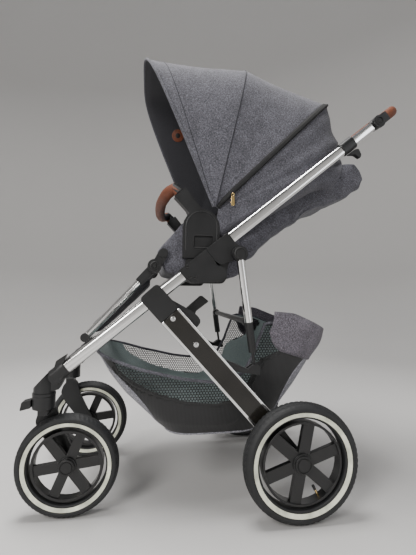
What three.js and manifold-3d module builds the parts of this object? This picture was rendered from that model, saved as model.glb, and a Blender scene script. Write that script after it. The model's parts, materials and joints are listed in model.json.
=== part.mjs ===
// Baby stroller: a folding chassis on four wheels with a seat unit, canopy and shopping basket.
// Millimetres, +Z up, the child faces -Y, +X is the child's left. The stroller is symmetric in X.
import * as THREE from 'three';
import { mergeVertices } from 'three/addons/utils/BufferGeometryUtils.js';
import Module from 'manifold-3d';

const wasm = await Module();
wasm.setup();

// ---------- driving dimensions ----------
const GAP = 0.4;                      // clearance between neighbouring parts
const CENTRE_Y = 100;                // rearward shift of the middle of the bounding box

const WHEEL_SEGMENTS = 36;
const REAR_WHEEL = { radius: 144.5, halfWidth: 22.8, x: 282.8, y: 280.8, rimInner: 94, hub: 25 };
const FRONT_WHEEL = { radius: 124.5, halfWidth: 21.8, x: 172.9, y: -280.8, rimInner: 79, hub: 22 };
const SPOKES = 6;

const FRAME_ANGLE = THREE.MathUtils.degToRad(39);   // slope of the lower tubes and the push bar
const SEAM = { y: 62, z: 649 };                     // where the frame line crosses the fold seam
const TUBE_X = 218;                                 // middle plane of lower tubes and push bar
const TUBE = { depth: 30, width: 19, wall: 2 };     // oval frame tube
const LOWER_TUBE_ENDS = [-456, -87];                // distances along the frame line from the seam
const PUSH_TUBE_ENDS = [71.5, 468];
const COLLAR_END = 510;
const INNER_TUBE_START = 385;
const TILT_AT = 605;                                // handle tilt axis, along the frame line
const HANDLE_REACH = 75;                            // tilt axis to the middle of the grip
const GRIP_RADIUS = 17;

const HOUSING_X = [205, 229.5];                     // thickness of the fold housing
const FOLD = { y: 85, z: 600, boss: 20.5, pin: 8 }; // fold axis of the push bar
const STAY_TOP = { y: 136, z: 651 };                // pivot of a rear stay on the push bar
const STAY_FOOT = { y: 176, z: 364 };               // pivot of a rear stay on the rear leg
const STAY_X = 241.5;
const STAY_BAR = { fraction: 0.4, radius: 8 };      // bar between the stays, at a fraction of their length from the foot

const LEG_PIVOT = { y: -75, z: 537.5 };             // pivot of the rear legs on the lower tubes
const LEG_X = [230.5, 252.5];
const LEG_WIDTH = 57;
const LEG_START = 55;                               // along the leg from its pivot
const LEG_END = 408;
const LEG_BAR = { along: 108, off: 36, radius: 11 };  // bar joining the rear legs, in the leg's frame

const CASTER = { x: 172.9, y: -341, radius: 25, seamZ: 296 };
const CROSSBAR = { y: -303, z: 353, radius: 17 };

const CANOPY_PIVOT = { y: 78, z: 768 };
const CANOPY_HALF_WIDTH = 204;
const CANOPY_SQUARENESS = 4.5;
const CANOPY_THICKNESS = 3;
const CANOPY_STEPS = 28;
const CANOPY_START = 25;                            // the bows start this far from the pivot
// Bows of the canopy: angle up from the rearward horizontal, and reach from the pivot, or from a foot of its own.
const BOWS = {
  front: { angle: 113.2, reach: 482 },
  lining: { angle: 109.5, reach: 469.5 },
  middle: { angle: 77, reach: 449 },
  zip: { angle: 44.7, reach: 506 },
  shoulder: { angle: 31.5, reach: 462 },
  back: { angle: 24, reach: 446 },
  hem: { angle: 31.6, reach: 447, from: { y: 106, z: 716 } },
};

const SEAT_HALF_WIDTH = 187.5;
const SEAT_WALL = 15;
const BACKREST = { y: 128, z: 668, angle: 34, length: 465, thickness: 50, halfWidth: 165 };
const LEGREST = { y: -76, z: 619, angle: 227, length: 262, tube: 9, x: 178 };
const BUMPER = { socketY: -14, socketZ: 812, x: 190, reach: 36, rise: -1, radius: 15.5 };

const BASKET = { halfWidth: 192, thickness: 3 };

// ---------- materials ----------
function material(color, roughness, metalness) {
  return new THREE.MeshStandardMaterial({ color, roughness, metalness });
}
const chrome = () => material(0xd8dadc, 0.12, 1);
const blackPlastic = () => material(0x1c1d1f, 0.5, 0);
const rubber = () => material(0x17181a, 0.75, 0);
const leather = () => material(0x8a4a30, 0.6, 0);
const melange = () => material(0x62626c, 0.95, 0);
const darkFabric = () => material(0x25262b, 0.95, 0);

// ---------- solid helpers ----------
function signedVolume(geometry) {
  const p = geometry.attributes.position;
  const index = geometry.index;
  const a = new THREE.Vector3();
  const b = new THREE.Vector3();
  const c = new THREE.Vector3();
  let sum = 0;
  for (let i = 0; i < index.count; i += 3) {
    a.fromBufferAttribute(p, index.getX(i));
    b.fromBufferAttribute(p, index.getX(i + 1));
    c.fromBufferAttribute(p, index.getX(i + 2));
    sum += a.dot(b.cross(c));
  }
  return sum / 6;
}

function flip(geometry) {
  const index = geometry.index;
  for (let i = 0; i < index.count; i += 3) {
    const first = index.getX(i);
    index.setX(i, index.getX(i + 1));
    index.setX(i + 1, first);
  }
  return geometry;
}

// Welds the vertices and turns the faces outwards.
function welded(geometry) {
  const bare = geometry.clone();
  bare.deleteAttribute('normal');
  bare.deleteAttribute('uv');
  const result = mergeVertices(bare, 1e-4);
  return signedVolume(result) < 0 ? flip(result) : result;
}

function toManifold(geometry) {
  const g = welded(geometry);
  return new wasm.Manifold(new wasm.Mesh({
    numProp: 3,
    vertProperties: Float32Array.from(g.attributes.position.array),
    triVerts: Uint32Array.from(g.index.array),
  }));
}

function fromManifold(solid) {
  const mesh = solid.getMesh();
  const geometry = new THREE.BufferGeometry();
  geometry.setAttribute('position', new THREE.Float32BufferAttribute(mesh.vertProperties, 3));
  geometry.setIndex(Array.from(mesh.triVerts));
  return geometry;
}

function union(...geometries) {
  return fromManifold(geometries.map(toManifold).reduce((a, b) => a.add(b)));
}

function subtract(base, ...cutters) {
  return fromManifold(cutters.map(toManifold).reduce((a, b) => a.subtract(b), toManifold(base)));
}

function mirrored(geometry) {
  const twin = welded(geometry);
  const p = twin.attributes.position;
  for (let i = 0; i < p.count; i += 1) {
    p.setX(i, -p.getX(i));
  }
  return flip(twin);
}

// ---------- shape helpers ----------
// A closed outline with its corners rounded; points are [across, up] or [across, up, radius].
function roundedShape(points, radius = 0) {
  const shape = new THREE.Shape();
  const count = points.length;
  points.forEach((point, i) => {
    const here = new THREE.Vector2(point[0], point[1]);
    const before = new THREE.Vector2(...points[(i + count - 1) % count].slice(0, 2)).sub(here);
    const after = new THREE.Vector2(...points[(i + 1) % count].slice(0, 2)).sub(here);
    const wanted = point[2] ?? radius;
    const reach = Math.min(wanted, before.length() * 0.49, after.length() * 0.49);
    const start = here.clone().add(before.setLength(reach));
    const end = here.clone().add(after.setLength(reach));
    if (i === 0) shape.moveTo(start.x, start.y);
    else shape.lineTo(start.x, start.y);
    if (reach > 0) shape.quadraticCurveTo(here.x, here.y, end.x, end.y);
  });
  shape.closePath();
  return shape;
}

function ovalShape(width, depth) {
  const shape = new THREE.Shape();
  const flat = (depth - width) / 2;
  shape.absarc(0, flat, width / 2, 0, Math.PI, false);
  shape.absarc(0, -flat, width / 2, Math.PI, 2 * Math.PI, false);
  shape.closePath();
  return shape;
}

// A side outline in the Y-Z plane, given thickness from x0 to x1.
function plate(points, x0, x1, radius = 0, curveSegments = 3) {
  const shape = points instanceof THREE.Shape ? points : roundedShape(points, radius);
  const depth = x1 - x0;
  const geometry = new THREE.ExtrudeGeometry(shape, { depth, bevelEnabled: false, curveSegments });
  const turn = new THREE.Matrix4().set(0, 0, 1, x0, 1, 0, 0, 0, 0, 1, 0, 0, 0, 0, 0, 1);
  return geometry.applyMatrix4(turn);
}

function disc(centre, radius, x0, x1, segments = 20) {
  const geometry = new THREE.CylinderGeometry(radius, radius, x1 - x0, segments);
  geometry.rotateZ(-Math.PI / 2);
  return geometry.translate((x0 + x1) / 2, centre.y, centre.z);
}

function upright({ x, y }, radius, z0, z1, segments = 24) {
  const column = new THREE.CylinderGeometry(radius, radius, z1 - z0, segments).rotateX(Math.PI / 2);
  return column.translate(x, y, (z0 + z1) / 2);
}

function rod(from, to, radius, segments = 14) {
  const along = to.clone().sub(from);
  const geometry = new THREE.CylinderGeometry(radius, radius, along.length(), segments);
  const up = new THREE.Vector3(0, 1, 0);
  geometry.applyQuaternion(new THREE.Quaternion().setFromUnitVectors(up, along.clone().normalize()));
  return geometry.translate(...from.clone().add(to).multiplyScalar(0.5).toArray());
}

function sweep(points, radius, steps, segments = 12) {
  const circle = new THREE.Shape().absarc(0, 0, radius, 0, 2 * Math.PI, false);
  const extrudePath = new THREE.CatmullRomCurve3(points, false, 'centripetal');
  return new THREE.ExtrudeGeometry(circle, { steps, extrudePath, curveSegments: segments });
}

function block(x0, x1, y0, y1, z0, z1) {
  const geometry = new THREE.BoxGeometry(x1 - x0, y1 - y0, z1 - z0);
  return geometry.translate((x0 + x1) / 2, (y0 + y1) / 2, (z0 + z1) / 2);
}

// A profile of [radius, x] points turned about an axis along X.
function turned(profile, centre, segments = WHEEL_SEGMENTS) {
  const points = profile.map(([r, x]) => new THREE.Vector2(r, x));
  points.push(points[0].clone());
  const half = Math.PI / segments;
  const geometry = new THREE.LatheGeometry(points, segments, half);
  geometry.rotateZ(-Math.PI / 2);
  return geometry.translate(0, centre.y, centre.z);
}

// A thin closed body from two matching grids of points, outer and inner; rows may wrap round.
function gridSolid(outer, inner, wraps = false) {
  const rows = outer.length;
  const columns = outer[0].length;
  const positions = [...outer.flat(), ...inner.flat()].flatMap((point) => point.toArray());
  const faces = [];
  const id = (layer, row, column) => layer * rows * columns + row * columns + (column % columns);
  const quad = (a, b, c, d) => faces.push(a, b, c, a, c, d);
  const last = wraps ? columns : columns - 1;
  for (let r = 0; r < rows - 1; r += 1) {
    for (let c = 0; c < last; c += 1) {
      quad(id(0, r, c), id(0, r, c + 1), id(0, r + 1, c + 1), id(0, r + 1, c));
      quad(id(1, r, c), id(1, r + 1, c), id(1, r + 1, c + 1), id(1, r, c + 1));
    }
  }
  for (let c = 0; c < last; c += 1) {
    quad(id(0, 0, c), id(1, 0, c), id(1, 0, c + 1), id(0, 0, c + 1));
    quad(id(0, rows - 1, c), id(0, rows - 1, c + 1), id(1, rows - 1, c + 1), id(1, rows - 1, c));
  }
  if (!wraps) {
    for (let r = 0; r < rows - 1; r += 1) {
      quad(id(0, r, 0), id(0, r + 1, 0), id(1, r + 1, 0), id(1, r, 0));
      const end = columns - 1;
      quad(id(0, r, end), id(1, r, end), id(1, r + 1, end), id(0, r + 1, end));
    }
  }
  const geometry = new THREE.BufferGeometry();
  geometry.setAttribute('position', new THREE.Float32BufferAttribute(positions, 3));
  geometry.setIndex(faces);
  return geometry;
}

// ---------- the frame line ----------
// The point at a distance along the frame line from the seam, and off it towards the front and up.
function onFrame(along, off = 0) {
  const cos = Math.cos(FRAME_ANGLE);
  const sin = Math.sin(FRAME_ANGLE);
  return { y: SEAM.y + along * cos - off * sin, z: SEAM.z + along * sin + off * cos };
}

function framePoints(pairs) {
  return pairs.map(([along, off, radius]) => {
    const point = onFrame(along, off);
    return radius === undefined ? [point.y, point.z] : [point.y, point.z, radius];
  });
}

// A prism whose section stands across the frame line.
function alongFrame(shape, from, to, x = TUBE_X) {
  const options = { depth: to - from, bevelEnabled: false, curveSegments: 5 };
  const geometry = new THREE.ExtrudeGeometry(shape, options);
  const cos = Math.cos(FRAME_ANGLE);
  const sin = Math.sin(FRAME_ANGLE);
  const start = onFrame(from);
  const turn = new THREE.Matrix4().makeBasis(
    new THREE.Vector3(-1, 0, 0),
    new THREE.Vector3(0, -sin, cos),
    new THREE.Vector3(0, cos, sin),
  );
  turn.setPosition(x, start.y, start.z);
  return geometry.applyMatrix4(turn);
}

function hollow(shape, hole) {
  shape.holes.push(hole);
  return shape;
}

// ---------- chassis ----------
function lowerTube() {
  const bore = ovalShape(TUBE.width - 2 * TUBE.wall, TUBE.depth - 2 * TUBE.wall);
  return alongFrame(hollow(ovalShape(TUBE.width, TUBE.depth), bore), ...LOWER_TUBE_ENDS);
}

function arcPoints(centre, radius, fromDegrees, toDegrees, steps) {
  return Array.from({ length: steps + 1 }, (_, i) => {
    const a = THREE.MathUtils.degToRad(fromDegrees + ((toDegrees - fromDegrees) * i) / steps);
    return [centre.y + radius * Math.cos(a), centre.z + radius * Math.sin(a)];
  });
}

// Lower half of the fold joint, with the flange that the seat hub stands on.
function foldHousing() {
  const [inside, outside] = HOUSING_X;
  const top = framePoints([[LOWER_TUBE_ENDS[1] + GAP, 16.5], [-GAP / 2, 16.5], [-GAP / 2, -20]]);
  const boss = arcPoints(FOLD, FOLD.boss, 100, -90, 8);
  const outline = [...top, ...boss, [14, 576], [0, 590], framePoints([[-86.6, -16]])[0]];
  const body = plate(outline.reverse(), inside, outside);
  const flange = plate([[-4, 592], [12, 576], [100, 576], [110, 588], [110, 639], [4, 639]], 189, 205.2, 6);
  const armRoom = disc(FOLD, FOLD.boss + 2, inside + 0.2, 217.4, 24);
  const pin = disc(FOLD, FOLD.pin, 200, 222, 16);
  return union(subtract(body, armRoom), flange, pin);
}

// Upper half of the fold joint: it carries the push tube and swings about the fold pin.
function foldKnuckle() {
  const [inside, outside] = HOUSING_X;
  const seam = framePoints([[GAP / 2 + 0.1, 16.5], [GAP / 2 + 0.1, -20]]);
  const end = framePoints([[PUSH_TUBE_ENDS[0] - 0.3, 16.5, 3], [PUSH_TUBE_ENDS[0] - 0.3, -16.5, 3]]);
  const outline = [seam[0], seam[1], [90.5, 622.5], [112, 632], [150, 640, 12], [152, 664, 12], end[1], end[0]];
  const body = plate(outline, inside + GAP, outside, 1);
  const arm = plate([[80, 604], [86, 640], [120, 645], [104, 600]], inside + GAP, 217, 4);
  const eye = disc(FOLD, FOLD.boss, inside + GAP, 217, 24);
  return subtract(union(body, arm, eye), disc(FOLD, FOLD.pin + GAP, 190, 222, 16));
}

function pushTube() {
  const bore = ovalShape(TUBE.width - 2 * TUBE.wall, TUBE.depth - 2 * TUBE.wall);
  return alongFrame(hollow(ovalShape(TUBE.width, TUBE.depth), bore), ...PUSH_TUBE_ENDS);
}

function innerSection(extra = 0) {
  const clearance = 2 * (TUBE.wall + GAP);
  return ovalShape(TUBE.width - clearance + extra, TUBE.depth - clearance + extra);
}

function innerTube() {
  return alongFrame(innerSection(), INNER_TUBE_START, TILT_AT - 20);
}

function collar() {
  const shape = hollow(ovalShape(TUBE.width + 6, TUBE.depth + 6), innerSection(2 * GAP));
  return alongFrame(shape, PUSH_TUBE_ENDS[1] + 0.3, COLLAR_END);
}

function foldTrigger() {
  const outline = framePoints([[474, -19], [498, -19], [509, -24], [505, -42], [496, -47], [490, -30]]);
  return plate(outline, TUBE_X - 7, TUBE_X + 7, 3);
}

function tiltHub() {
  const axis = onFrame(TILT_AT);
  const sleeve = alongFrame(ovalShape(16, 28), TILT_AT - 19.7, TILT_AT - 5, TUBE_X - 4);
  return union(sleeve, disc(axis, 16, TUBE_X - 11.5, TUBE_X + 4, 24));
}

function handleYoke() {
  const axis = onFrame(TILT_AT);
  const cheek = disc(axis, 17, TUBE_X + 4.4, TUBE_X + 14, 24);
  const web = plate(framePoints([[TILT_AT, 14], [TILT_AT, -14], [636, -13], [636, 13]]), TUBE_X + 4.4, TUBE_X + 14);
  const sleeve = alongFrame(ovalShape(27.6, 28), TILT_AT + 17.5, TILT_AT + 31, TUBE_X + 0.2);
  return union(cheek, subtract(union(web, sleeve), disc(axis, 16.6, TUBE_X - 20, TUBE_X + 4.4, 24)));
}

// The leather grip runs across between the two yokes with rounded corners.
function handleGrip() {
  const start = TILT_AT + 31.4;
  const reach = TILT_AT + HANDLE_REACH;
  const half = [[TUBE_X, start], [TUBE_X, start + 3], [TUBE_X - 14, reach - 5], [TUBE_X - 42, reach], [90, reach]];
  const across = [...half, [0, reach], ...half.map(([x, along]) => [-x, along]).reverse()];
  const path = across.map(([x, along]) => {
    const point = onFrame(along);
    return new THREE.Vector3(x, point.y, point.z);
  });
  return sweep(path, GRIP_RADIUS - 2.5, 26, 7);
}

// ---------- front axle and casters ----------
function frontWheelCentre() {
  return { y: FRONT_WHEEL.y, z: FRONT_WHEEL.radius };
}

function rearWheelCentre() {
  return { y: REAR_WHEEL.y, z: REAR_WHEEL.radius };
}

// Upright barrel of a caster, cut off at a slope, on a neck from the crossbar.
function casterHousing() {
  const { x, y, radius, seamZ } = CASTER;
  const barrel = upright(CASTER, radius, seamZ, 366);
  const flange = upright(CASTER, radius + 2.5, seamZ, seamZ + 7);
  const aboveSlope = plate([[y - 60, 276], [y + 16, 358], [y + 60, 362], [y + 60, 400], [y - 60, 400]], x - 40, x + 40);
  const neck = plate([[y, seamZ + 10], [y + radius + 12, seamZ + 16], [-290, 340], [-296, 364], [y + 14, 355],
    [y - 8, 330]], x - 16, x + 16);
  return union(subtract(barrel, aboveSlope), flange, neck);
}

function frontAxle() {
  const bar = disc(CROSSBAR, CROSSBAR.radius, -(TUBE_X + 12), TUBE_X + 12, 20);
  const sleeve = alongFrame(ovalShape(TUBE.width + 7, TUBE.depth + 7), -478, -441);
  const cover = plate(framePoints([[-470, 10], [-441, 10], [-420, 24, 3], [-448, 27, 3]]), TUBE_X - 9, TUBE_X + 9);
  const socket = alongFrame(ovalShape(TUBE.width + 2 * GAP, TUBE.depth + 2 * GAP), LOWER_TUBE_ENDS[0] - 1, -400);
  const left = subtract(union(sleeve, cover, casterHousing()), socket);
  return subtract(union(bar, left, mirrored(left)), socket, mirrored(socket));
}

// Swivelling half of a caster: its hub, and one leg that runs back to the wheel's axle on the inner side.
function casterFork() {
  const { x, y, radius, seamZ } = CASTER;
  const axle = frontWheelCentre();
  const hub = upright(CASTER, radius + 2, seamZ - GAP - 31, seamZ - GAP);
  const legOutline = [[y - 27, 222, 8], [y - 18, 250, 12], [y + 4, 262, 10], [y + 24, 260, 10], [y + 34, 216, 10],
    [axle.y + 17, axle.z + 4, 6], [axle.y, axle.z - 17, 10], [axle.y - 17, axle.z - 4, 8], [y - 12, 190, 12]];
  const inner = FRONT_WHEEL.x - FRONT_WHEEL.halfWidth;
  const leg = plate(legOutline, inner - 15, inner - 3);
  const arch = block(inner - 15, x + 12, y - 12, y + 12, 248, seamZ - GAP - 28);
  const stub = disc(axle, 8, inner - 6, FRONT_WHEEL.x - 16.4, 14);
  return union(hub, arch, leg, stub);
}

function casterLock() {
  const { x, y, radius, seamZ } = CASTER;
  const front = y - radius - 2;
  return plate([[front - 26, 262], [front - GAP, 268], [front - GAP, 288], [front - 22, 283]], x - 13, x + 13, 3);
}

// ---------- wheels ----------
// Half of the tyre's section: fractions of the wheel radius and of the half width.
const TYRE_HALF = [[0.694, 0.62], [0.745, 0.86], [0.81, 1], [0.87, 0.97], [0.935, 0.76], [0.982, 0.4]];

function tyre(wheel, centre) {
  const flat = 1 / Math.cos(Math.PI / WHEEL_SEGMENTS);
  const half = TYRE_HALF.map(([r, w]) => [r * wheel.radius, w * wheel.halfWidth]);
  const profile = [
    ...half.map(([r, w]) => [r, wheel.x - w]),
    [wheel.radius * flat, wheel.x],
    ...half.map(([r, w]) => [r, wheel.x + w]).reverse(),
  ];
  return turned(profile, centre);
}

function rim(wheel, centre, turnDegrees) {
  const outer = TYRE_HALF[0][0] * wheel.radius - 0.3;
  const lip = TYRE_HALF[0][1] * wheel.halfWidth;
  const spokeWidth = wheel.radius * 0.2;
  const band = turned([[wheel.rimInner, wheel.x - lip], [outer, wheel.x - lip], [outer, wheel.x + lip],
    [wheel.rimInner, wheel.x + lip]], centre);
  const spokes = Array.from({ length: SPOKES }, (_, i) => {
    const spoke = block(wheel.x - 3, wheel.x + 10, 8, wheel.rimInner + 2, -spokeWidth / 2, spokeWidth / 2);
    spoke.rotateX(THREE.MathUtils.degToRad(turnDegrees + (i * 360) / SPOKES));
    return spoke.translate(0, centre.y, centre.z);
  });
  const hub = disc(centre, wheel.hub, wheel.x - 16, wheel.x + 15, 24);
  const cap = disc(centre, wheel.hub * 0.86, wheel.x + 14, wheel.x + 20, 24);
  return union(band, hub, cap, ...spokes);
}

// ---------- rear legs ----------
function legFrame() {
  const axle = rearWheelCentre();
  const length = Math.hypot(axle.y - LEG_PIVOT.y, axle.z - LEG_PIVOT.z);
  return { cos: (axle.y - LEG_PIVOT.y) / length, sin: (axle.z - LEG_PIVOT.z) / length, length };
}

function legPoints(pairs) {
  const { cos, sin } = legFrame();
  return pairs.map(([along, off, radius]) => {
    const point = [LEG_PIVOT.y + along * cos - off * sin, LEG_PIVOT.z + along * sin + off * cos];
    return radius === undefined ? point : [...point, radius];
  });
}

function rearLeg() {
  const half = LEG_WIDTH / 2;
  const outline = legPoints([[LEG_START, -half], [LEG_END, -half], [LEG_END, half], [LEG_START, half]]);
  return plate(outline, ...LEG_X);
}

// Black heads of both rear legs, with the bar that joins them on thin inner plates.
function legYoke() {
  const half = LEG_WIDTH / 2;
  const face = TUBE_X + TUBE.width / 2 + GAP;
  const head = plate(legPoints([[-24, -half, 12], [LEG_START - GAP, -half, 1], [LEG_START - GAP, half, 1],
    [-24, half, 12]]), ...LEG_X);
  const boss = disc(LEG_PIVOT, 13, face, LEG_X[0] + 2);
  const inner = plate(legPoints([[-12, -12, 8], [20, -20, 8], [125, 14, 8], [122, 50, 14], [92, 50, 14], [-12, 14, 8]]),
    face, LEG_X[0] - GAP);
  const bar = disc(legBar(), LEG_BAR.radius, -(face + 1), face + 1, 14);
  const left = union(head, boss, inner);
  return union(bar, left, mirrored(left));
}

function legBar() {
  const [[y, z]] = legPoints([[LEG_BAR.along, LEG_BAR.off]]);
  return { y, z };
}

function rearAxle() {
  const axle = rearWheelCentre();
  const { length } = legFrame();
  const foot = plate(legPoints([[LEG_END + GAP, -24, 4], [length + 20, -17, 12], [length + 20, 17, 12],
    [LEG_END + GAP, 24, 4]]), ...LEG_X);
  const stub = disc(axle, 9, LEG_X[1] - 4, REAR_WHEEL.x - 16.4, 14);
  const left = union(foot, stub);
  return union(disc(axle, 11, -235, 235, 18), left, mirrored(left));
}

function stayBracket() {
  const half = LEG_WIDTH / 2;
  const [from, to] = [[228, half + 0.3], [268, half + 0.3]];
  const [root, end] = legPoints([from, to]);
  const { y, z } = STAY_FOOT;
  const body = plate([root, end, [y + 12, z - 16, 4], [y + 13, z + 8, 8], [y - 4, z + 13, 8], [y - 22, z, 4]], ...LEG_X);
  const slot = plate(arcPoints(STAY_FOOT, 23, 0, 330, 11), STAY_X - 5, STAY_X + 5);
  return subtract(body, slot);
}

function brakePedal() {
  const axle = rearWheelCentre();
  const ring = disc(axle, 17, -36, 36, 20);
  const pad = plate([[axle.y + 8, axle.z - 6], [axle.y + 66, axle.z + 20], [axle.y + 60, axle.z + 32], [axle.y + 4, axle.z + 12]],
    -34, 34, 3);
  return subtract(union(ring, pad), disc(axle, 11 + GAP, -60, 60, 18));
}

function foldLever() {
  const { y, z } = legBar();
  const ring = disc({ y, z }, LEG_BAR.radius + 5, 120, 150, 18);
  const paddle = plate([[y - 13, z + 26], [y, z + 10], [y + 48, z + 47], [y + 29, z + 63]], 118, 152, 4);
  const web = plate([[y - 13, z], [y + 8, z - 4], [y + 16, z + 28], [y - 8, z + 30]], 124, 146, 3);
  return subtract(union(ring, paddle, web), disc({ y, z }, LEG_BAR.radius + GAP, 100, 170, 14));
}

// ---------- rear stays ----------
function stayPoint(fraction) {
  return new THREE.Vector3(
    STAY_X,
    THREE.MathUtils.lerp(STAY_FOOT.y, STAY_TOP.y, fraction),
    THREE.MathUtils.lerp(STAY_FOOT.z, STAY_TOP.z, fraction),
  );
}

function rearStay() {
  const knuckle = disc(STAY_TOP, 19.5, HOUSING_X[1] + GAP, 250, 22);
  const tube = rod(stayPoint(0.4), stayPoint(0.96), 10.5, 16);
  const sleeve = rod(stayPoint(0.14), stayPoint(0.44), 10, 16);
  const neck = rod(stayPoint(0.02), stayPoint(0.16), 4, 10);
  const eye = disc(STAY_FOOT, 10, STAY_X - 4.2, STAY_X + 4.2, 16);
  return union(knuckle, tube, sleeve, neck, eye);
}

// Bar that ties the two rear stays together, with a clamp at each end.
function stayBar() {
  const { y, z } = stayPoint(STAY_BAR.fraction);
  const end = STAY_X - 10.5 - GAP;
  const clamp = disc({ y, z }, STAY_BAR.radius + 4, end - 22, end, 16);
  return union(disc({ y, z }, STAY_BAR.radius, -end, end, 14), clamp, mirrored(clamp));
}

// ---------- seat unit ----------
function seatHub() {
  const plateX = [189, HOUSING_X[0] - GAP];
  const dome = arcPoints({ y: 43, z: 722 }, 48, 0, 180, 9);
  const body = plate([[91, 641], ...dome, [-5, 641]].map(([y, z]) => [y, Math.max(z, 639 + GAP)]), ...plateX);
  const slot = block(plateX[1] - 5, plateX[1] + 5, 22, 74, 668, 700);
  const along = { y: Math.cos(2.286), z: Math.sin(2.286) };
  const side = { y: -along.z, z: along.y };
  const corner = (distance, off) => [
    BUMPER.socketY + distance * along.y + off * side.y,
    BUMPER.socketZ + distance * along.z + off * side.z,
  ];
  const arm = plate([corner(-70, 16), corner(-70, -16), corner(0, -19), corner(0, 19)], 176, plateX[1], 3);
  return union(subtract(body, slot), arm);
}

function bumperBar() {
  const { socketY, socketZ, x, reach, rise, radius } = BUMPER;
  const start = { y: socketY - 0.8, z: socketZ + 0.9 };
  const half = [
    [x, start.y, start.z],
    [x, start.y - 9.2, start.z + 10.6],
    [x - 22, start.y - reach + 8, start.z + rise + 4],
    [x - 60, start.y - reach, start.z + rise],
    [60, start.y - reach - 6, start.z + rise],
  ];
  const points = [...half, ...half.map(([a, b, c]) => [-a, b, c]).reverse()];
  return sweep(points.map((p) => new THREE.Vector3(...p)), radius, 26, 6);
}

// The seat shell: a floor between two fabric-covered side walls.
function seatShell() {
  const wall = plate([[0, 742, 10], [-74, 660, 12], [-52, 606, 16], [0, 592, 10], [141, 592, 20], [172, 624, 14],
    [150, 700, 16], [110, 744, 12]], SEAT_HALF_WIDTH - SEAT_WALL, SEAT_HALF_WIDTH);
  const floor = plate([[-60, 632], [-52, 606, 10], [0, 592, 10], [141, 592, 16], [158, 616, 8], [136, 616],
    [20, 614], [-44, 640]], -SEAT_HALF_WIDTH + 3, SEAT_HALF_WIDTH - 3);
  return union(floor, wall, mirrored(wall));
}

function seatCushion() {
  const half = SEAT_HALF_WIDTH - SEAT_WALL - GAP;
  return plate([[-58, 646.5, 14], [-42, 640.4, 2], [21, 614.5, 6], [112, 616.5, 10], [96, 652, 16], [-30, 684, 22],
    [-70, 676, 16]], -half, half, 0, 4);
}

function backrestPoints(pairs) {
  const a = THREE.MathUtils.degToRad(BACKREST.angle);
  return pairs.map(([along, off, radius]) => [
    BACKREST.y + along * Math.cos(a) - off * Math.sin(a),
    BACKREST.z + along * Math.sin(a) + off * Math.cos(a),
    radius,
  ]);
}

function backrest() {
  const half = BACKREST.thickness / 2;
  const { length, halfWidth } = BACKREST;
  const outline = backrestPoints([[-half * 0.8, -half, 18], [length, -half, 14], [length + 4, half, 14], [-half * 0.8, half, 20]]);
  return plate(outline, -halfWidth, halfWidth, 0, 4);
}

function harness() {
  const strap = (x) => plate(backrestPoints([[60, 25.5, 1], [330, 25.5, 1], [330, 29, 1], [64, 29, 1]]), x - 16, x + 16);
  const bridge = plate(backrestPoints([[52, 25.6, 2], [70, 25.6, 2], [70, 40, 4], [52, 40, 4]]), -76, 76);
  return union(strap(60), strap(-60), bridge);
}

function legrestPoints(pairs) {
  const a = THREE.MathUtils.degToRad(LEGREST.angle);
  return pairs.map(([along, off, radius]) => [
    LEGREST.y + along * Math.cos(a) + off * Math.sin(a),
    LEGREST.z + along * Math.sin(a) - off * Math.cos(a),
    radius,
  ]);
}

function legrestJoint() {
  const small = { y: -54, z: 653 };
  const arm = plate([[small.y + 12, small.z - 6, 6], [small.y - 6, small.z + 13, 8], [small.y - 14, small.z, 6],
    [LEGREST.y - 14, LEGREST.z - 6, 8], [LEGREST.y + 12, LEGREST.z - 12, 8]], 188, 197);
  return union(arm, disc(LEGREST, 18, 188, 202, 24), disc(small, 12, 188, 200, 18));
}

// Two tubes joined across the foot end, with the plastic hinge arms at their upper ends.
function legrestFrame() {
  const [[startY, startZ], [endY, endZ]] = legrestPoints([[30, 0], [LEGREST.length - 14, 0]]);
  const tube = rod(new THREE.Vector3(LEGREST.x, startY, startZ), new THREE.Vector3(LEGREST.x, endY, endZ), LEGREST.tube);
  const foot = rod(new THREE.Vector3(-LEGREST.x, endY, endZ), new THREE.Vector3(LEGREST.x, endY, endZ), LEGREST.tube);
  const cap = disc({ y: endY, z: endZ }, LEGREST.tube + 2, LEGREST.x - 10, LEGREST.x + 11);
  const arm = plate(legrestPoints([[-16, -12, 8], [-16, 12, 8], [58, 11, 4], [58, -11, 4]]), LEGREST.x - 11, 187.5);
  const left = union(tube, arm, cap);
  return union(foot, left, mirrored(left));
}

function legrestPad() {
  const outline = legrestPoints([[22, 6, 8], [LEGREST.length - 26, 10, 8], [LEGREST.length - 26, -14, 8], [22, -24, 12]]);
  return plate(outline, -(LEGREST.x - 12), LEGREST.x - 12, 0, 4);
}

// ---------- canopy ----------
// One point of a bow: across runs from -1 at the right foot to 1 at the left foot.
function bowPoint(bow, across, inset) {
  const theta = (Math.PI / 2) * (1 - Math.abs(across));
  const power = 2 / CANOPY_SQUARENESS;
  const x = (CANOPY_HALF_WIDTH - inset) * Math.cos(theta) ** power * Math.sign(across);
  const top = bow.reach - inset - CANOPY_START;
  const distance = CANOPY_START + top * Math.sin(theta) ** power;
  const a = THREE.MathUtils.degToRad(bow.angle);
  const foot = bow.from ?? CANOPY_PIVOT;
  return new THREE.Vector3(x, foot.y + distance * Math.cos(a), foot.z + distance * Math.sin(a));
}

// Cloth stretched over bows, or with an inset a band that lies inside it.
function canopyPanel(bows, inset = 0, thickness = CANOPY_THICKNESS) {
  const layer = (depth) => bows.map((bow) => (
    Array.from({ length: CANOPY_STEPS + 1 }, (_, i) => bowPoint(bow, (2 * i) / CANOPY_STEPS - 1, depth))
  ));
  return gridSolid(layer(inset), layer(inset + thickness));
}

function shifted(bow, degrees) {
  return { angle: bow.angle + degrees, reach: bow.reach };
}

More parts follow.
